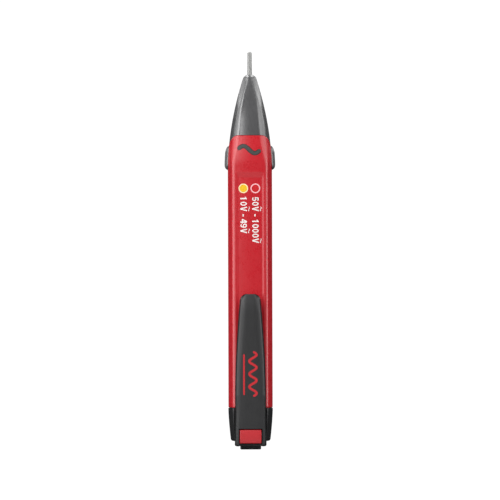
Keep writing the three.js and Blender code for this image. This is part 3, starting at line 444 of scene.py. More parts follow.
class Nodes:
    """A short way to wire a Principled material of one colour."""

    def __init__(self, name, code="ffffff"):
        self.material = bpy.data.materials.new(name)
        self.material.use_nodes = True
        self.tree = self.material.node_tree
        self.shader = self.tree.nodes["Principled BSDF"]
        self.place = self.add("ShaderNodeTexCoord", {}, "Object")
        self.color = srgb(code)

    def tone(self, factor):
        """The material's colour, darker or lighter."""
        return (*(c * factor for c in self.color[:3]), 1.0)

    def feed(self, node, inputs):
        """Links or sets each input."""
        for socket, value in inputs.items():
            if isinstance(value, bpy.types.NodeSocket):
                self.tree.links.new(value, node.inputs[socket])
            else:
                node.inputs[socket].default_value = value

    def add(self, kind, inputs, output=0, **settings):
        """Adds a node and gives back one of its outputs."""
        node = self.tree.nodes.new(kind)
        for key, value in settings.items():
            setattr(node, key, value)
        self.feed(node, inputs)
        return node.outputs[output]

    def stretched(self, scale):
        return self.add("ShaderNodeMapping", {"Vector": self.place, "Scale": scale})

    def noise(self, scale, detail=2.0, roughness=0.5, place=None):
        inputs = {"Vector": place or self.place, "Scale": scale, "Detail": detail, "Roughness": roughness}
        return self.add("ShaderNodeTexNoise", inputs)

    def ramp(self, value, low, high, start=0.3, end=0.7):
        """A colour between low and high as the value goes from start to end."""
        output = self.add("ShaderNodeValToRGB", {"Fac": value})
        first, second = output.node.color_ramp.elements
        first.position, second.position = start, end
        first.color, second.color = low, high
        return output

    def remap(self, value, low, high, start=0.0, end=1.0):
        inputs = {"Value": value, "From Min": start, "From Max": end, "To Min": low, "To Max": high}
        return self.add("ShaderNodeMapRange", inputs)

    def maths(self, operation, a, b):
        return self.add("ShaderNodeMath", {0: a, 1: b}, operation=operation)

    def mix(self, factor, first, second):
        return self.add("ShaderNodeMix", {0: factor, 6: first, 7: second}, 2, data_type="RGBA")

    def bump(self, height, strength, distance_mm):
        inputs = {"Height": height, "Strength": strength, "Distance": distance_mm * MM}
        return self.add("ShaderNodeBump", inputs)

    def finish(self, color, roughness, normal=None, **more):
        """Feeds the shader and gives back the material."""
        self.feed(self.shader, {"Base Color": color, "Roughness": roughness})
        if normal:
            self.feed(self.shader, {"Normal": normal})
        self.feed(self.shader, {key.replace("_", " "): value for key, value in more.items()})
        return self.material


def moulded(name, code, roughness, grain=0.3, grain_mm=0.3, speck=0.06, gloss=0.5):
    """Injection-moulded plastic: spark-eroded grain, faint flow marks and handling wear in the gloss."""
    n = Nodes(name, code)
    fine = n.noise(1 / (grain_mm * MM), 2.0, 0.6)
    flow = n.noise(70, 3.0, 0.55)
    wear = n.noise(260, 4.0, 0.6)
    speckled = n.ramp(fine, n.tone(1 - speck), n.tone(1 + speck), 0.35, 0.65)
    flowed = n.mix(n.remap(flow, 0.0, 0.25, 0.35, 0.7), speckled, n.tone(0.93))
    uneven = n.maths("ADD", n.remap(wear, -0.03, 0.03, 0.3, 0.7), n.remap(fine, -0.03, 0.03, 0.3, 0.7))
    matt = n.maths("ADD", uneven, roughness)
    return n.finish(flowed, matt, n.bump(fine, grain, 0.02), IOR=1.5, Specular_IOR_Level=gloss)


def smooth_lens(name, code, roughness):
    """Smoke-tinted polycarbonate: polished, faintly cloudy and scuffed."""
    n = Nodes(name, code)
    scuff = n.noise(900, 5.0, 0.65)
    cloudy = n.ramp(n.noise(90, 3.0, 0.6), n.tone(0.94), n.tone(1.06))
    matt = n.remap(scuff, roughness - 0.05, roughness + 0.08, 0.3, 0.75)
    return n.finish(cloudy, matt, n.bump(scuff, 0.04, 0.02), IOR=1.55, Specular_IOR_Level=0.95)


def ink(name, code):
    """Pad-printed ink: slightly uneven coverage and a matt skin."""
    n = Nodes(name, code)
    cover = n.noise(2600, 3.0, 0.6)
    uneven = n.ramp(cover, n.tone(0.9), n.color, 0.3, 0.6)
    return n.finish(uneven, n.remap(cover, 0.4, 0.55), n.bump(cover, 0.1, 0.01))


def metal(name, code, roughness, stretch=(1, 1, 0.05)):
    """Drawn or plated metal with fine marks along one direction."""
    n = Nodes(name, code)
    lines = n.noise(3000, 3.0, place=n.stretched(stretch))
    stained = n.ramp(n.noise(240, 3.0), n.tone(0.82), n.color)
    matt = n.remap(lines, roughness - 0.08, roughness + 0.12, 0.3, 0.7)
    return n.finish(stained, matt, n.bump(lines, 0.15, 0.01), Metallic=1.0)


def board_finish(name):
    """Green solder mask with copper runs showing through as lighter, raised lines."""
    n = Nodes(name)
    inputs = {"Vector": n.stretched((1, 0, 1)), "Scale": 420}
    cells = n.add("ShaderNodeTexVoronoi", inputs, "Distance", feature="DISTANCE_TO_EDGE")
    runs = n.remap(cells, 1.0, 0.0, 0.02, 0.05)
    mask = n.mix(runs, srgb("174c30"), srgb("2f7a4c"))
    return n.finish(mask, n.remap(n.noise(5200), 0.28, 0.45), n.bump(runs, 0.4, 0.03))


def lamp_finish(name, code):
    """Tinted epoxy of a small lamp, with a faint haze."""
    n = Nodes(name, code)
    haze = n.noise(1500, 3.0)
    tint = n.ramp(haze, n.tone(0.85), n.color)
    return n.finish(tint, n.remap(haze, 0.08, 0.2), Transmission_Weight=0.35, IOR=1.5)


CELL_BOTTOM = 0.0224
CELL_PITCH = 0.04455


def cell_finish(name):
    """Printed sleeve of a dry cell: dark body, lighter collar at the positive end, bare metal ends."""
    n = Nodes(name)
    height = n.add("ShaderNodeSeparateXYZ", {"Vector": n.place}, "Z")
    scuff = n.noise(1400, 4.0)
    cells_up = n.maths("DIVIDE", n.maths("SUBTRACT", height, CELL_BOTTOM), CELL_PITCH)
    along = n.maths("FRACT", cells_up, 0.0)
    paint = n.mix(n.remap(along, 0.0, 1.0, 0.72, 0.722), srgb("24272c"), srgb("b08a3c"))
    ends = n.maths("ADD", n.remap(along, 1.0, 0.0, 0.006, 0.009), n.remap(along, 0.0, 1.0, 0.968, 0.971))
    sleeve = n.mix(ends, paint, srgb("c4c6c8"))
    shine = n.remap(ends, 0.35, 1.0)
    return n.finish(sleeve, n.remap(scuff, 0.22, 0.4), n.bump(scuff, 0.05, 0.01), Metallic=shine)


red = moulded("red_moulded", "c01c27", 0.29, grain=0.03, speck=0.04, gloss=0.68)
black = moulded("black_moulded", "2d2d2e", 0.4, grain=0.1, speck=0.08, gloss=0.4)
cap_black = moulded("cap_black_moulded", "252526", 0.3, grain=0.05, speck=0.08, gloss=0.25)
# Near-black copy of the clip's plastic for its side walls and inner face: painted shade for the dark line
# round the clip.
clip_wall_painted_shade = moulded("clip_wall_painted_shade_moulded", "161617", 0.5, grain=0.1, speck=0.08, gloss=0.22)
latch_red = moulded("latch_red_moulded", "be2a31", 0.36, grain=0.06, speck=0.04)
probe_grey = moulded("probe_grey", "8d8d8b", 0.26, grain=0.02, speck=0.03, gloss=0.85)
rubber = moulded("rubber", "1b1b1c", 0.7, grain=0.6, grain_mm=0.4)
epoxy = moulded("moulded_epoxy", "151517", 0.5, grain=0.2, grain_mm=0.15)
smoke = smooth_lens("smoke_lens", "505051", 0.2)
white_ink = ink("white_ink", "f4f1ee")
red_ink = ink("red_ink", "c21c26")
steel = metal("spring_steel", "c9cbcd", 0.25)
nickel = metal("nickel_strip", "cfcabb", 0.3, stretch=(0.05, 1, 1))


def dress(obj, material, body="housing", slot="red_casing", *nodes):
    """Gives a new piece its material and its body, and hides the CAD nodes it stands for; the slot is not
    used.
    """
    obj.data.materials.clear()
    obj.data.materials.append(material)
    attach(obj, body)
    if nodes:
        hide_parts(*nodes)
    return obj


# --- shells

LABEL_HALF = 5.75
LABEL_TOP = NOSE_START - 0.2
LABEL_CORNER = 1.3
LABEL_RAMP = 2.4
LABEL_SINK = 0.38
LABEL_WALL = 1.0
NO_BOTTOM = -100.0  # for a panel that runs out at the shell's lower edge

PANEL_HALF = 5.2
PANEL_BOTTOM, PANEL_TOP = 24.0, 58.0
PANEL_CORNER = 1.5
PANEL_WALL = 0.3
PANEL_RISE = 0.4

KEY_FLANGE = 0.8
KEY_GAP = 0.2
KEY_CENTRE = (key_low.z + key_high.z) / 2
KEY_HALF_WIDTH = key_high.x - KEY_FLANGE
KEY_STRAIGHT = (key_high.z - key_low.z) / 2 - key_high.x  # half of its straight part

SOUND_SLOT = (0.45, 2.15)  # radius, and half the length between the centres
SOUND_PITCH = 2
FRONT_CUT = (6, 14)  # y of a cutter that passes the front wall
STEM_HALF = 2.0  # half-width of the latch's stem and of the catch


# Half-width of the broad face, up to the rounded edge.
edge_marks = stations([0.0])
FACE_HALF = abs(half_ring(body_grid, SHELL_BOTTOM, edge_marks, -1)[edge_marks[0] == ARC, 0]).min()


def recess_marks(half, wall):
    """Face stations that put edge rows on both sides of a recess wall."""
    edges = (half + 0.12, half, half - wall / 2, half - wall, half - wall - 0.15)
    right = [0.985] + [edge / FACE_HALF for edge in edges]
    right += list(np.linspace(right[-1], 0, 9)[1:-1])
    return np.array(right + [0.0] + [-m for m in reversed(right)])


def sink(grid, half, bottom, top, corner, wall, ramp, drop):
    """Presses a panel into a broad face, by `drop` along y."""
    x, y, z = grid[..., 0], grid[..., 1], grid[..., 2]
    half_here = half - corner * quarter_round((z - (top - corner)) / corner)
    half_here = half_here - corner * quarter_round(((bottom + corner) - z) / corner)
    across = 1 - smoothstep(half_here - wall, half_here, np.abs(x))
    along = np.clip((top - z) / ramp, 0, 1) * smoothstep(bottom, bottom + wall, z)
    grid[..., 1] = np.where(np.abs(x) < FACE_HALF, y + drop * np.minimum(across, along), y)
    return grid


def make_rear_shell():
    """The half on the clip side: the sunk label panel and the tongue over the nose."""
    marks = stations(recess_marks(LABEL_HALF, LABEL_WALL))
    rows = [SHELL_BOTTOM, SHELL_BOTTOM + 0.6, 30, 50, 70, 90, 104]
    rows += list(np.arange(LABEL_TOP - LABEL_RAMP - 1.0, NOSE_START + 0.5, 0.2))
    z = spread(rows, marks)
    tongue_rows = np.linspace(0, 1, 34)[1:, None] ** 0.9
    lowest = z[-1]
    upper = lowest + (TONGUE_TOP - lowest) * tongue_rows
    for _ in range(FIT_ROUNDS):
        x = body_grid(upper, marks, -1)[..., 0]
        upper = lowest + (tongue_height(x) - lowest) * tongue_rows
    z = np.concatenate([z, upper])
    outer = body_grid(z, marks, -1, -TONGUE_LIFT * tongue_rise(z))
    inner = body_grid(z, marks, -1, SHELL_WALL)
    outer = sink(outer, LABEL_HALF, NO_BOTTOM, LABEL_TOP, LABEL_CORNER, LABEL_WALL, LABEL_RAMP, LABEL_SINK)
    return bevel_sharp(thick_shell("rear_shell_skin", outer, inner), 0.16, angle=50)


def bar(name, half, y_span, z_span, radius=0, segments=3):
    """A block centred on X."""
    return block(name, (-half, y_span[0], z_span[0]), (half, y_span[1], z_span[1]), radius, segments)


def latch_catch():
    """The tongue that hangs from the rear shell into the cap, with its catch."""
    root = bar("catch_root", STEM_HALF, (-8.6, -7.3), (SHELL_BOTTOM + 0.3, cap_high.z), 0.15)
    blade = bar("catch_blade", STEM_HALF, (-7.9, -7.3), (rear_low.z, SHELL_BOTTOM + 0.5), 0.12)
    lip = bar("catch_lip", STEM_HALF, (-7.4, -7.0), (rear_low.z, rear_low.z + 1.2), 0.12)
    return join_objects(root, [blade, lip])


def arc(centre, radii, first, last, count=20):
    """Points along an ellipse, its angles in degrees."""
    angles = np.radians(np.linspace(first, last, count))
    return [(centre[0] + radii[0] * math.cos(a), centre[1] + radii[1] * math.sin(a)) for a in angles]


def stadium(radius, half_length, steps=16):
    """Outline of a slot with round ends, long along the second coordinate."""
    radii = (radius, radius)
    return arc((0, half_length), radii, 0, 180, steps) + arc((0, -half_length), radii, 180, 360, steps)


def make_front_shell():
    """The half on the button side: the raised panel, the key's window and the sound slots."""
    marks = stations(recess_marks(PANEL_HALF, PANEL_WALL))
    rows = [SHELL_BOTTOM, SHELL_BOTTOM + 0.6, *np.arange(PANEL_BOTTOM - 0.4, PANEL_BOTTOM + 2.2, 0.2)]
    rows += [32, 40, 48, *np.arange(PANEL_TOP - 2.2, PANEL_TOP + 0.4, 0.2)]
    rows += [*range(64, 105, 8), NOSE_START - 0.6, NOSE_START]
    z = spread(rows, marks)
    outer = body_grid(z, marks, 1)
    inner = body_grid(z, marks, 1, SHELL_WALL)
    walls = (PANEL_CORNER, PANEL_WALL, PANEL_WALL)
    outer = sink(outer, PANEL_HALF, PANEL_BOTTOM, PANEL_TOP, *walls, -PANEL_RISE)
    shell = thick_shell("front_shell_skin", outer, inner)
    window = stadium(KEY_HALF_WIDTH + KEY_GAP, KEY_STRAIGHT)
    cutters = [prism("window", [(x, KEY_CENTRE + z) for x, z in window], FRONT_CUT)]
    buzzer_z = (buzzer_low.z + buzzer_high.z) / 2
    for k in (-1, 0, 1):
        slot = [(along, buzzer_z + SOUND_PITCH * k + up) for up, along in stadium(*SOUND_SLOT)]
        cutters.append(prism(f"slot_{k}", slot, FRONT_CUT))
    return even_shading(bevel_sharp(boolean(shell, cutters), 0.14, angle=50))


rear = join_objects(make_rear_shell(), [latch_catch()])
dress(rear, red, "housing", "red_casing", "rear_shell")
dress(make_front_shell(), red, "housing", "red_casing", "front_shell")

# --- nose

EAR_DEPTH = 1.5
EAR_PROFILE = [(0.98, 0.03), (0.93, 0.09), (0.84, 0.19), (0.5, 0.55), (0.2, 0.86), (0.07, 0.97)]
EAR_PROFILE += [(0, 0.98), (0, 0)]
GUARD_RUN_IN = 2.2
GUARD_RUN_OUT = 3.2
LIP_REACH = 1.6


def guard_body():
    """Finger guard: a swelling ridge round the button side that ends in the two ears."""
    marks = even_stations(15, 7, 9)
    low, high = GUARD_SPAN
    rings = []
    for share in np.linspace(0, 1, 41):
        z = low + (high - low) * share
        run_in = quarter_round(1 - (z - low) / GUARD_RUN_IN)
        run_out = quarter_round(1 - (high - z) / GUARD_RUN_OUT)
        swell = (1 - run_in) * (1 - run_out)
        insets = (0.15 - (GUARD_RISE + 0.15) * swell, 0.7, -0.02)
        outer, inner, flank = (half_ring(body_grid, z, marks, 1, inset) for inset in insets)
        left = slanted_end(outer[-1], flank[-1])
        right = slanted_end(outer[0], flank[0])[::-1]
        rings.append(np.concatenate([outer, left, inner[::-1], right]))
    return loft("guard", rings)


def slanted_end(outer, flank):
    """The ear's end past the parting line, a soft slant from its outer face to the casing's flank."""
    reach = max(abs(outer[0]) - abs(flank[0]), 0.02) * math.copysign(1, outer[0])
    run = EAR_DEPTH * min(abs(reach) / GUARD_RISE, 1)
    return np.array([(flank[0] + reach * u, -run * v - 0.001, outer[2]) for u, v in EAR_PROFILE])


def make_nose():
    """The cone with its lower edge cut round the rear shell's tongue, joined to the finger guard."""
    marks = even_stations(13)
    corner_z = TONGUE_TOP + SEAM_GAP - TONGUE_CORNER[1]
    above = np.linspace(0, 1, 46)[:, None]
    rear_z = corner_z + (NOSE_SHOULDER - corner_z) * above * np.ones(marks.shape[1])
    low_rows = np.linspace(NOSE_START + 0.05, corner_z, 10)[:-1]
    front_z = np.concatenate([spread(low_rows, marks), rear_z])
    for _ in range(FIT_ROUNDS):
        x = body_grid(rear_z, marks, -1)[..., 0]
        edge = tongue_height(x[0]) + SEAM_GAP
        rear_z = edge + (NOSE_SHOULDER - edge) * above
    halves = []
    for z, side in ((front_z, 1), (rear_z, -1)):
        walls = (body_grid(z, marks, side, inset) for inset in (0, NOSE_WALL))
        halves.append([with_shoulder(grid, k) for k, grid in enumerate(walls)])
    nose = bevel_sharp(nose_from_halves(halves), 0.26, angle=50, segments=3)
    return join_objects(boolean(nose, [guard_body()], "UNION"), [make_seam_lip()])


def make_seam_lip():
    """Lip inside the cone that carries on behind the tongue's edge, so that the seam is closed."""
    marks = even_stations(13)
    rows = np.linspace(-LIP_REACH, LIP_REACH, 9)[:, None]
    z = TONGUE_TOP + rows * np.ones(marks.shape[1])
    middle = len(rows) // 2
    for _ in range(FIT_ROUNDS):
        x = body_grid(z, marks, -1)[..., 0]
        z = tongue_height(x[middle]) + rows
    near, far = (body_grid(z, marks, -1, SHELL_WALL + more) for more in (0.02, 0.6))
    return thick_shell("seam_lip", near, far)


def with_shoulder(grid, is_inner):
    """Closes a half cone at the top with the slanted shoulder round the probe's hole."""
    bearing = np.arctan2(grid[-1, :, 1], grid[-1, :, 0])
    rows = []
    for share in np.linspace(0, 1, 8)[1:]:
        radius = NOSE_HOLE + (NOSE_TIP - NOSE_HOLE) * (1 - share**SHOULDER_POWER)
        z = NOSE_SHOULDER + (NOSE_TOP - NOSE_SHOULDER) * share
        if is_inner:
            radius = max(NOSE_HOLE, radius - NOSE_WALL)
            z = min(z, NOSE_TOP - 0.8 + 0.8 * share)
        rows.append(on_heights(z, radius * np.cos(bearing), radius * np.sin(bearing)))
    return np.concatenate([grid, np.array(rows)])


def nose_from_halves(halves):
    """One closed wall from the front and rear halves, welded along the parting line above the tongue."""
    vertices, faces = [], []
    start_out = 0
    for outer, inner in halves:
        rows, columns = outer.shape[:2]
        size = rows * columns
        start_in = start_out + size
        vertices += [outer.reshape(-1, 3), inner.reshape(-1, 3)]
        faces += grid_faces(rows, columns, start_out) + grid_faces(rows, columns, start_in)
        for j in range(columns - 1):
            for row in (0, size - columns):
                a, b = start_out + row + j, start_in + row + j
                faces.append((a, a + 1, b + 1, b))
        start_out += 2 * size
    front_rows, back_rows = len(halves[0][0]), len(halves[1][0])
    size = front_rows * columns
    for row in range(0, (front_rows - back_rows) * columns, columns):
        for a in (row, row + columns - 1):
            faces.append((a, a + columns, size + a + columns, size + a))
    return new_object("nose_cone", np.concatenate(vertices), faces)


dress(make_nose(), smoke, "housing", "smoke_lens", "nose_lens")

PROBE_RADIUS = 0.95
PROBE_END_RADIUS = 0.86
PROBE_BORE = 0.55
FLANGE_RADIUS, FLANGE_HEIGHT = 2.1, 1.1


def make_probe():
    """Thin pin with a rounded end and a flange inside the nose."""
    foot = probe_low.z
    top = foot + FLANGE_HEIGHT
    profile = [(PROBE_BORE, foot), (FLANGE_RADIUS, foot), (FLANGE_RADIUS, top), (PROBE_RADIUS, top)]
    profile += [(PROBE_RADIUS, NOSE_TOP - 0.4), (PROBE_RADIUS * 0.99, NOSE_TOP + 2)]
    for a in np.linspace(0, 1.45, 9):
        drop = PROBE_END_RADIUS * 0.8 * (1 - math.sin(a))
        profile.append((PROBE_END_RADIUS * math.cos(a), PROBE_TOP - drop))
    profile += [(0.001, PROBE_TOP), (0.001, PROBE_TOP - 1.4)]
    profile += [(PROBE_BORE, PROBE_TOP - 1.9), (PROBE_BORE, foot)]
    return lathe("probe_pin", profile, segments=48)


dress(make_probe(), probe_grey, "housing", "light_grey_probe", "probe_tip")

# --- tail cap

CAP_TOP_WIDTH = cap_high.x
CAP_BOTTOM = 3.3
CAP_HEIGHT = 12.1
CAP_TAPER = 0.91
CAP_ROUND = 0.9
CAP_WALL = 1.5
CORE_INSET = 1.85
CORE_WALL = 1.15
CORE_OVERLAP = 2.2  # the spigot's reach into the cap
PAD_HALF = 6.6  # the flat on which the clip sits
GROOVE_X = 6.3
TAB_HALF = 4.2


def cap_grid(z, marks, side, inset=0.0):
    drop = CAP_TAPER * ((CAP_TOP - z) / CAP_HEIGHT) ** 1.5
    rounded = CAP_ROUND * quarter_round((CAP_BOTTOM + CAP_ROUND - z) / CAP_ROUND)
    width = CAP_TOP_WIDTH - drop - rounded
    depth = BODY_D - drop - rounded
    return on_heights(z, *section(width, depth, 0.0, marks, side, inset))


def make_cap():
    """The cap's shell with the clip's flat, a groove on both sides of it, and the tail tab."""
    marks = even_stations(13, 7, 9)
    heights = [CAP_BOTTOM + CAP_ROUND * (1 - math.cos(a)) for a in np.linspace(0, math.pi / 2, 9)]
    heights += list(np.linspace(CAP_BOTTOM + CAP_ROUND, CAP_TOP, 12)[1:])
    inner_heights = [*(CAP_BOTTOM + up for up in (1.5, 2.4, 5, 9)), CAP_TOP - 0.001]
    outer = [full_ring(cap_grid, z, marks, 0.0) for z in heights]
    inner = [full_ring(cap_grid, z, marks, CAP_WALL) for z in inner_heights]
    shell = loft("cap_shell", outer + inner[::-1])
    cutters = [bar("pad", PAD_HALF, (-14, base_high.y), (0, CAP_TOP + 3))]
    for x in (-GROOVE_X, GROOVE_X):
        cutters.append(block("groove", (x - 0.3, -14, 0), (x + 0.3, -8.5, CAP_TOP + 3)))
    bevel_sharp(boolean(shell, [*cutters, stem_hole()]), 0.14, angle=50)
    tab = bar("tab", TAB_HALF, (-8, 5), (cap_low.z, CAP_BOTTOM + 0.4), 0.5, 4)
    return even_shading(join_objects(shell, [tab]))


def stem_hole():
    return bar("stem_hole", STEM_HALF + 0.3, (-14, -5), (5.1, 7.9))


def make_cap_core():
    """Spigot that slides into the shells, the web that carries it, and the spring's pedestal."""
    marks = even_stations(9, 5, 5)
    top = cap_high.z
    foot = CAP_TOP - CORE_OVERLAP

    def tube(name, inset, upper):
        walls = []
        for at in (inset, CORE_INSET + CORE_WALL):
            walls.append([full_ring(body_grid, z, marks, at) for z in (foot, upper)])
        slot = bar("slot", STEM_HALF + 0.4, (-8.25, -6.4), (12, top + 1))
        return boolean(ring_wall(name, *walls), [slot])

    spigot = tube("cap_core", CORE_INSET, top)
    web = tube("web", 1.0, CAP_TOP - 0.02)
    pedestal = lathe("pedestal", [(0.001, 4.6), (4, 4.6), (4, 14.7), (3.7, 15.0), (0.001, 15.0)], -2.2)
    boolean(pedestal, [bar("hook_room", STEM_HALF + 0.4, (-12, -4.1), (4, 12.2))])
    bevel_sharp(spigot, 0.12, angle=50)
    return join_objects(spigot, [web, pedestal])


def make_gasket():
    marks = even_stations(9, 5, 7)
    heights = (gasket_low.z, gasket_high.z)
    outer, inner = ([full_ring(body_grid, z, marks, inset) for z in heights] for inset in (0.3, SHELL_WALL))
    return ring_wall("gasket_ring", outer, inner)


dress(make_cap(), cap_black, "cap", "black_plastic", "end_cap")
dress(make_cap_core(), cap_black, "cap", "black_plastic")
dress(make_gasket(), rubber, "cap", "black_rubber", "cap_gasket")

# --- pocket clip

CLIP_INNER = -12.6
CLIP_SEAT = -10.3
CLIP_BOTTOM = base_low.z
CLIP_TOP = arm_high.z
CLIP_FLEX = base_high.z
CLIP_HALF = 6.2
CLIP_TAPER_START = 22
CLIP_FOOT = 0.6
CLIP_TIP = 2.7
CLIP_DRAFT = 0.42
# Faces that don't face the clip side get the near-black material, as painted shade along the clip's edges.
CLIP_SHADE_FACING = -0.3  # polygons whose normal has more y are sides
LATCH_TOP = 8.1
LATCH_HALF = latch_high.x
LATCH_GAP = 0.35


def clip_half_width(z):
    taper = np.maximum((z - CLIP_TAPER_START) / (CLIP_TOP - CLIP_TAPER_START), 0)
    flare = np.maximum((CLIP_FLEX - z) / (CLIP_FLEX - CLIP_BOTTOM), 0)
    return CLIP_HALF - 2.2 * taper**1.72 + 0.2 * flare


def clip_inner_y(z):
    """The clip's inner face: on the cap, then swept out to the blade, with the nub near the end."""
    sweep = smoothstep(CAP_TOP + 0.3, CLIP_FLEX + 1.6, z)
    inner = base_high.y if z < CAP_TOP else CLIP_SEAT + (CLIP_INNER - CLIP_SEAT) * sweep
    nub = 2.3 * np.exp(-(((z - 57.5) / 2.4) ** 2))
    return inner + nub - 0.9 * smoothstep(59.5, CLIP_TOP, z)


def clip_outer_y(z):
    end = np.clip((z - 55.0) / (CLIP_TOP - 55.0), 0, 1)
    return arm_low.y + 1.2 * end**2.2 + 0.5 * quarter_round((CLIP_BOTTOM + 1.4 - z) / 1.4)


def clip_section(z, half_width):
    """Outer face with a faint crown, soft chamfers that widen towards the tip, side walls, inner face."""
    outer = clip_outer_y(z)
    along = np.clip((z - CLIP_BOTTOM) / (52 - CLIP_BOTTOM), 0, 1)
    chamfer = min(1.15 + 1.15 * along, half_width * 0.45)
    depth = 0.5 + 0.25 * along
    corners = [
        (half_width, clip_inner_y(z)),
        (half_width - CLIP_DRAFT, outer + depth + 0.18),
        (half_width - CLIP_DRAFT - 0.1, outer + depth - 0.05),
        (half_width - chamfer * 0.5, outer + depth * 0.42),
        (half_width - chamfer - 0.15, outer + 0.07),
        (half_width - chamfer - 0.5, outer + 0.015),
        (half_width * 0.3, outer),
    ]
    left = [(-x, y) for x, y in reversed(corners)]
    return [(x, y, z) for x, y in corners + left]


def make_clip():
    heights = [CLIP_BOTTOM + CLIP_FOOT * (1 - math.cos(a)) for a in np.linspace(0, math.pi / 2, 6)]
    heights += [*np.arange(3, CAP_TOP - 0.05, 1.2), CAP_TOP - 0.02, CAP_TOP + 0.02]
    heights += [*np.arange(CAP_TOP + 0.5, 24, 0.5), *np.arange(25, 52, 1.5)]
    heights += [*np.arange(52.5, CLIP_TOP - 0.4, 0.4), *(CLIP_TOP - d for d in (0.25, 0.1, 0.02, 0))]
    rings = []
    for z in heights:
        foot = 0.6 * quarter_round((CLIP_BOTTOM + CLIP_FOOT - z) / CLIP_FOOT)
        tip = 2.4 * quarter_round((z - (CLIP_TOP - CLIP_TIP)) / CLIP_TIP)
        rings.append(clip_section(z, clip_half_width(z) - foot - tip))
    clip = loft("pocket_clip", rings)
    pocket = bar("pocket", LATCH_HALF + LATCH_GAP, (-20, -10), (-5, LATCH_TOP + LATCH_GAP))
    spring_hole = lathe("spring_hole", [(0.001, -9), (1.2, -9), (1.2, 9), (0.001, 9)], segments=32)
    place = Matrix.Translation((0, -12 * MM, 4.05 * MM))
    spring_hole.data.transform(place @ Matrix.Rotation(math.pi / 2, 4, "X"))
    return bevel_sharp(boolean(clip, [pocket, stem_hole(), spring_hole]), 0.16, angle=40, segments=3)


clip = make_clip()
clip.data.materials.append(black)
clip.data.materials.append(clip_wall_painted_shade)
# Side walls, end and inner face get the near-black material: painted shade for the dark outline of the clip.
for polygon in clip.data.polygons:
    polygon.material_index = int(polygon.normal.y > CLIP_SHADE_FACING)
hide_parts("clip_base", "clip_arm")
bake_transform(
    clip, "cap", "clip", start=(0, -0.0138, (CLIP_FLEX - 1.4) * MM), end=(0, -0.0138, (CLIP_FLEX + 2.2) * MM)
)


def make_latch():
    """Button with a crowned, faintly stepped face, its stem and the hook behind it."""
    centre = (latch_low.z + LATCH_TOP) / 2
    half_height = (LATCH_TOP - latch_low.z) / 2
    u, v = np.meshgrid(np.linspace(-1, 1, 25), np.linspace(-1, 1, 19))
    crown = 0.1 * v * v + 0.16 * v**4 + 0.06 * u * u
    outer = np.stack([u * LATCH_HALF, latch_low.y + crown, centre + v * half_height], -1)
    inner = outer.copy()
    inner[..., 1] = -11.6
    head = bevel_sharp(thick_shell("latch_key", outer, inner), 0.4, angle=50, segments=3)
    stem = bar("stem", STEM_HALF, (-12, -5.6), (5.4, 7.6), 0.15)
    hook = bar("hook", STEM_HALF, (-6.4, -5.6), (7.4, 11.2), 0.15)
    lip = bar("lip", STEM_HALF, (-6.9, -6.2), (10, 11.2), 0.15)
    return join_objects(head, [stem, hook, lip])


dress(make_latch(), latch_red, "latch", "latch_red", "latch_button")

# --- power key on the button side


def make_key():
    """Soft key with a dished top and three raised grip bars, on its hidden flange."""
    top = key_high.y
    edge = 0.45  # radius of the key's rounded rim
    flange_y = 7.9
    profile = [(KEY_FLANGE, key_low.y), (KEY_FLANGE, flange_y), (0.0, flange_y), (0.0, top - 0.55)]
    for a in np.linspace(0, math.pi / 2, 7)[1:]:
        profile.append((-edge * (1 - math.cos(a)), top - 0.55 + edge * math.sin(a)))
    profile += [(-0.9, top - 0.08), (-1.4, top - 0.24), (-2.2, top - 0.36)]
    profile.append((-KEY_HALF_WIDTH + 0.3, top - 0.4))
    rings = []
    for grow, y in profile:
        outline = stadium(KEY_HALF_WIDTH + grow, KEY_STRAIGHT, 24)
        rings.append([(x, y, KEY_CENTRE + z) for x, z in outline])
    bars = []
    for z in (KEY_CENTRE - 2.2, KEY_CENTRE, KEY_CENTRE + 2.2):
        bars.append(bar("grip_bar", 1.9, (top - 0.7, top - 0.1), (z - 0.35, z + 0.35), 0.25))
    return join_objects(loft("key_pad", rings), bars)


dress(make_key(), rubber, "power_button", "black_rubber", "power_button")

# --- printed marks

INK = 0.035
INK_FOOT = 0.05  # depth below the surface


def normals_of(directions):
    directions = directions / np.linalg.norm(directions, axis=1)[:, None]
    return np.stack([-directions[:, 1], directions[:, 0]], -1), directions


def strip(name, line, half_width, surface, thickness=INK):
    """A band of ink with round tips along a line in the XZ plane, laid on a surface y(x, z)."""
    normal = normals_of(np.gradient(line, axis=0))[0]
    length = np.linalg.norm(np.diff(line, axis=0), axis=1).sum()
    from_start = np.linspace(0, length, len(line))
    over = np.clip(1 - np.minimum(from_start, length - from_start) / half_width, 0, 1)
    widths = half_width * np.sqrt(np.maximum(1 - over**2, 0.0004))
    rows = []
    for point, reach in zip(line, normal * widths[:, None]):
        across = [point + reach * share for share in (-1, -0.5, 0, 0.5, 1)]
        rows.append([(x, surface(x, z), z) for x, z in across])
    laid = np.array(rows)
    return thick_shell(name, laid - (0, thickness, 0), laid + (0, INK_FOOT, 0))


def label_floor(x):
    """y of the sunk label's floor, which follows the crown of the face."""
    return rear_surface_y(x, SHELL_BOTTOM) + LABEL_SINK


def on_label(outline, lift):
    return [(x, label_floor(x) - lift, z) for x, z in outline]


def disc(name, x, radius, hole):
    """A printed disc or ring on the label's floor."""

    def ring(r, lift):
        return on_label(arc((x, DOT_Z), (r, r), 0, 360, 65)[:-1], lift)

    if hole:
        return ring_wall(name, *([ring(r, -INK_FOOT), ring(r, INK)] for r in (radius, hole)))
    half = radius / 2
    return loft(name, [ring(half, -INK_FOOT), ring(radius, -INK_FOOT), ring(radius, INK), ring(half, INK)])


def mitred(path, half_width):
    """Outline of a line of constant width with pointed corners."""
    path = np.array(path, float)
    legs = normals_of(np.diff(path, axis=0))[1]
    after = np.vstack([legs, legs[-1:]])
    normal, mean = normals_of(np.vstack([legs[:1], legs]) + after)
    reach = half_width / np.clip((mean * after).sum(1), 0.5, 1)
    offset = normal * reach[:, None]
    return np.concatenate([path + offset, (path - offset)[::-1]])


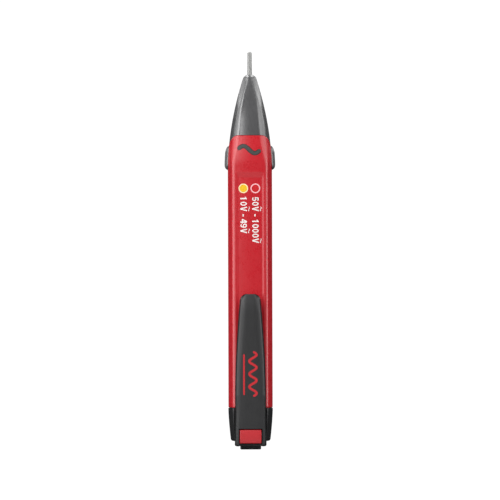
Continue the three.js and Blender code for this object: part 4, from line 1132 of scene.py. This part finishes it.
# Figures are drawn in a cell 1 high, as (right, up).
STROKE = 0.082
ZERO = ((0.31, 0.5), (0.22, 0.41))  # centre and radii of a closed loop
NINE_LOOP = ((0.32, 0.68), (0.23, 0.23))
NINE_TAIL = mitred([(0.55, 0.7), *arc((0.28, 0.5), (0.27, 0.41), 0, -128)], STROKE)
FIVE = [(0.58, 0.91), (0.17, 0.91), (0.12, 0.5), *arc((0.31, 0.33), (0.23, 0.24), 130, -150)]
FOUR = [(0.38, 0), (0.57, 0), (0.57, 0.22), (0.68, 0.22), (0.68, 0.39), (0.57, 0.39), (0.57, 1)]
FOUR += [(0.35, 1), (0, 0.4), (0, 0.22), (0.38, 0.22)]
FOUR_HOLE = [(0.38, 0.39), (0.38, 0.72), (0.18, 0.39)]
WAVE_SIGN = [(0.04 + 0.66 * t, 1.3 + 0.07 * math.sin(2 * math.pi * t)) for t in np.linspace(0, 1, 24)]
PLAIN_GLYPHS = {
    "1": [(0.17, 0), (0.37, 0), (0.37, 1), (0.23, 1), (0.17, 0.87), (0, 0.8), (0, 0.67), (0.17, 0.7)],
    "V": [(0, 1), (0.19, 1), (0.36, 0.27), (0.53, 1), (0.72, 1), (0.45, 0), (0.27, 0)],
    "-": [(0, 0.34), (0.36, 0.34), (0.36, 0.52), (0, 0.52)],
    "5": mitred(FIVE, STROKE),
    "~": mitred(WAVE_SIGN, 0.05),
}
FIGURE_HEIGHT = 2.66
FIGURE_START = 101.7


def glyph(name, kind, x_base, z_start):
    """One figure on the label floor, turned so that its top points to +X."""

    def solid(points, front=INK, back=INK_FOOT):
        outline = [(x_base + v * FIGURE_HEIGHT, z_start - u * FIGURE_HEIGHT) for u, v in points]
        return loft(name, [on_label(outline, lift) for lift in (-back, front)])

    def loop(centre, radii):
        outer = solid(arc(centre, [r + STROKE for r in radii], 0, 360, 49)[:-1])
        hole = solid(arc(centre, [r - STROKE for r in radii], 0, 360, 49)[:-1], 1, 1)
        return boolean(outer, [hole])

    if kind == "0":
        return loop(*ZERO)
    if kind == "9":
        return boolean(loop(*NINE_LOOP), [solid(NINE_TAIL)], "UNION")
    if kind == "4":
        return boolean(solid(FOUR), [solid(FOUR_HOLE, 1, 1)])
    return solid(PLAIN_GLYPHS[kind])


DOT_Z = 105.1
LEFT_X, RIGHT_X = -2.66, 2.18
DOTS = (
    ("mark_yellow", ink("yellow_ink", "f0bf0c"), LEFT_X, 1.5, 0),
    ("mark_yellow_ring", ink("cream_ink", "fbe9b8"), LEFT_X, 1.92, 1.52),
    ("mark_red", ink("dot_red_ink", "c80c16"), RIGHT_X, 1.5, 0),
    ("mark_red_ring", ink("pink_ink", "ffc4c8"), RIGHT_X, 1.95, 1.52),
)
for dot_name, dot_ink, *dot_shape in DOTS:
    dress(disc(dot_name, *dot_shape), dot_ink)

LOW_STEPS = (0, 1.95, 3.9, 3.9, 6.95, 8.9, 10.75, 12.75, 12.75)
HIGH_STEPS = (0.05, 2, 3.9, 3.9, 6.95, 9.15, 10.95, 12.85, 14.8, 16.7, 16.7)
COLUMNS = (("figures_low", "10V~-49V~", LOW_STEPS, -3.9), ("figures_high", "50V~-1000V~", HIGH_STEPS, 0.85))
for column_name, kinds, steps, column_x in COLUMNS:
    figures = []
    for kind, step in zip(kinds, steps):
        figures.append(glyph(column_name, kind, column_x, FIGURE_START - step))
    dress(join_objects(figures[0], figures[1:]), white_ink)

wave_t = np.linspace(0, 1, 72)
wave = np.stack([-4.9 + 9.2 * wave_t, 120.7 + 1.45 * np.sin(2 * math.pi * wave_t)], -1)
dress(strip("mark_wave_edge", wave, 0.88, rear_surface_y), ink("outline_ink", "1d1416"))
dress(strip("mark_wave", wave, 0.64, rear_surface_y, 2 * INK), ink("dark_ink", "3c413f"))


def clip_face(_x, z):
    return clip_outer_y(z)


# A plain ripple with a bar beside it, running along the clip.
ripple_t = np.linspace(0, 1, 140)
ripple_line = np.stack([1.0 + 1.45 * np.sin(2 * math.pi * 3.5 * ripple_t), 39.5 - 18 * ripple_t], -1)
bar_line = np.stack([np.full(60, -2.6), np.linspace(38.5, 22, 60)], -1)
dress(strip("mark_clip_ripple", ripple_line, 0.48, clip_face), red_ink, "clip", "latch_red")
dress(strip("mark_clip_bar", bar_line, 0.36, clip_face), red_ink, "clip", "latch_red")

# --- inner pieces, refined from their CAD solids

slots = {row["node"]: row["material_slot"] for row in frame["record"]["subparts"]}


def refined(node, material, width_mm):
    """A welded copy of a CAD solid with its edges rounded, standing for the node."""
    source = frame["nodes"][node]
    obj = put_in_scene(f"{node}_fine", source.data.copy())
    work = bmesh.new()
    work.from_mesh(obj.data)
    bmesh.ops.remove_doubles(work, verts=work.verts, dist=2e-6)
    bmesh.ops.dissolve_limit(work, angle_limit=math.radians(1), verts=work.verts, edges=work.edges)
    work.to_mesh(obj.data)
    work.free()
    if width_mm:
        bevel_sharp(obj, width_mm, angle=40)
    tidy_mesh(obj, 32)
    return dress(obj, material, body_of(source)[0], slots[node], node)


INNER_PIECES = (
    (metal("copper_wire", "c88a56", 0.3), 0, "sensor_antenna"),
    (board_finish("solder_mask"), 0.05, "led_board circuit_board"),
    (epoxy, 0.12, "power_switch"),
    (epoxy, 0.1, "switch_plunger"),
    (epoxy, 0.2, "buzzer"),
    (epoxy, 0.05, "controller_chip"),
    (metal("drawn_can", "c3c5c8", 0.32), 0.2, "crystal capacitor"),
    (epoxy, 0.05, "resistor_1 resistor_2 resistor_3"),
    (steel, 0.06, "board_screw_1 board_screw_2"),
    (moulded("chassis_moulded", "1c1d20", 0.5, grain=0.25), 0.1, "chassis"),
    (cell_finish("cell_sleeve"), 0.12, "battery_1 battery_2"),
    (nickel, 0.05, "positive_contact return_contact cap_contact"),
    (steel, 0, "cell_spring latch_spring"),
)
LAMPS = {"led_red": "c8201c", "led_yellow": "e9b21c", "led_green": "39a84a", "work_light_led": "e8ebef"}
for inner_material, inner_width, inner_names in INNER_PIECES:
    for inner_name in inner_names.split():
        refined(inner_name, inner_material, inner_width)
for lamp_name, lamp_code in LAMPS.items():
    refined(lamp_name, lamp_finish(f"{lamp_name}_epoxy", lamp_code), 0.05)

# --- floor, light and camera

CENTRE = (cad_low + cad_high) / 2


def seen_only(tree):
    """1 for what the camera sees directly, 0 for reflections and light."""
    return tree.nodes.new("ShaderNodeLightPath").outputs["Is Camera Ray"]


def make_floor():
    """A pale floor just below the cap at its lowest pull."""
    drop = next(j for j in frame["joints"] if j["name"] == "cap_pull")["range_m"][1]
    level = (cad_low.z - drop) / MM - 2
    obj = block("floor", (-450, -450, level - 6), (450, 450, level), 1.0)
    n = Nodes("pale_floor")
    cloud = n.noise(6, 3.0)
    pale = n.ramp(cloud, (0.8, 0.8, 0.8, 1), (0.85, 0.85, 0.85, 1))
    glow = n.remap(seen_only(n.tree), 0.0, 0.9)
    obj.data.materials.append(
        n.finish(pale, n.remap(cloud, 0.6, 0.7), Emission_Color=(1, 1, 1, 1), Emission_Strength=glow)
    )
    obj.visible_glossy = False
    obj.visible_diffuse = False


def make_world():
    """White surroundings to the eye, dim as a light."""
    world = bpy.data.worlds.new("studio")
    bpy.context.scene.world = world
    world.use_nodes = True
    tree = world.node_tree
    back = tree.nodes["Background"].inputs
    back["Color"].default_value = (1, 1, 1, 1)
    strength = tree.nodes.new("ShaderNodeMapRange")
    strength.inputs["To Min"].default_value = 0.015
    strength.inputs["To Max"].default_value = 1.05
    tree.links.new(seen_only(tree), strength.inputs["Value"])
    tree.links.new(strength.outputs["Result"], back["Strength"])


# Soft boxes round the object, as (azimuth from, to, elevation from, to, radiance), in degrees from
# its middle. Azimuth 0 is the camera's side and + is to its right.
SOFT_BOXES = {
    "left_mid": (-90, -55, -10, 14, 4.03),
    "left_rear_mid": (-125, -90, -10, 14, 0.43),
    "left_front_mid": (-55, -22, -10, 8, 3.0),
    "sheen": (-22, -9, 5, 30, 3.79),
    "left_high": (-90, -62, 14, 42, 2.35),
    "left_high_front": (-62, -30, 14, 42, 5.34),
    "right_mid": (55, 92, -10, 14, 3.94),
    "right_front_mid": (28, 55, -10, 14, 0.8),
    "right_high_front": (24, 62, 14, 38, 2.48),
    "right_high": (62, 92, 14, 40, 1.93),
    "left_rim": (-140, -90, 15, 32, 1.35),
    "right_rim": (92, 128, 15, 32, 2.0),
    "left_back_high": (-168, -140, 14, 34, 2.3),
    "right_back_high": (128, 168, 14, 34, 2.1),
    "top_front": (-60, 60, 48, 84, 1.52),
    "fill": (-25, 25, -40, -9, 0.75),
    "back_left": (-175, -130, 45, 75, 7.0),
    "back_right": (135, 180, 45, 75, 7.0),
}


def soft_box(name, left, right, bottom, top, radiance):
    """A rectangular light at 1 m that fills a range of azimuth and elevation."""
    turn, lift = math.radians((left + right) / 2), math.radians((bottom + top) / 2)
    light = bpy.data.lights.new(name, "AREA")
    light.shape = "RECTANGLE"
    light.size = 2 * math.tan(math.radians(right - left) / 2) * math.cos(lift)
    light.size_y = 2 * math.tan(math.radians(top - bottom) / 2)
    light.energy = radiance * math.pi * light.size * light.size_y
    obj = put_in_scene(name, light)
    way = Vector((math.sin(turn) * math.cos(lift), -math.cos(turn) * math.cos(lift), math.sin(lift)))
    obj.location = CENTRE + way
    obj.rotation_euler = (-way).to_track_quat("-Z", "Y").to_euler()
    obj.visible_camera = False


PICTURE_WIDTH = 0.2011  # at the casing's face
FACE_Y = -0.01
CAMERA_X, CAMERA_Z = -0.00005, 0.0803
CAMERA_ROLL = math.radians(0.17)


def make_camera():
    """Level, square to the clip side and from far away."""
    camera = bpy.data.cameras.new("camera")
    camera.lens = 600
    camera.sensor_width = 36
    camera.clip_end = 10
    obj = put_in_scene("camera", camera)
    obj.location = (CAMERA_X, FACE_Y - PICTURE_WIDTH * camera.lens / camera.sensor_width, CAMERA_Z)
    obj.rotation_euler = (math.radians(90), CAMERA_ROLL, 0)
    bpy.context.scene.camera = obj


make_floor()
make_world()
for box_name, box in SOFT_BOXES.items():
    soft_box(box_name, *box)
make_camera()
bpy.context.scene.view_settings.view_transform = "Standard"
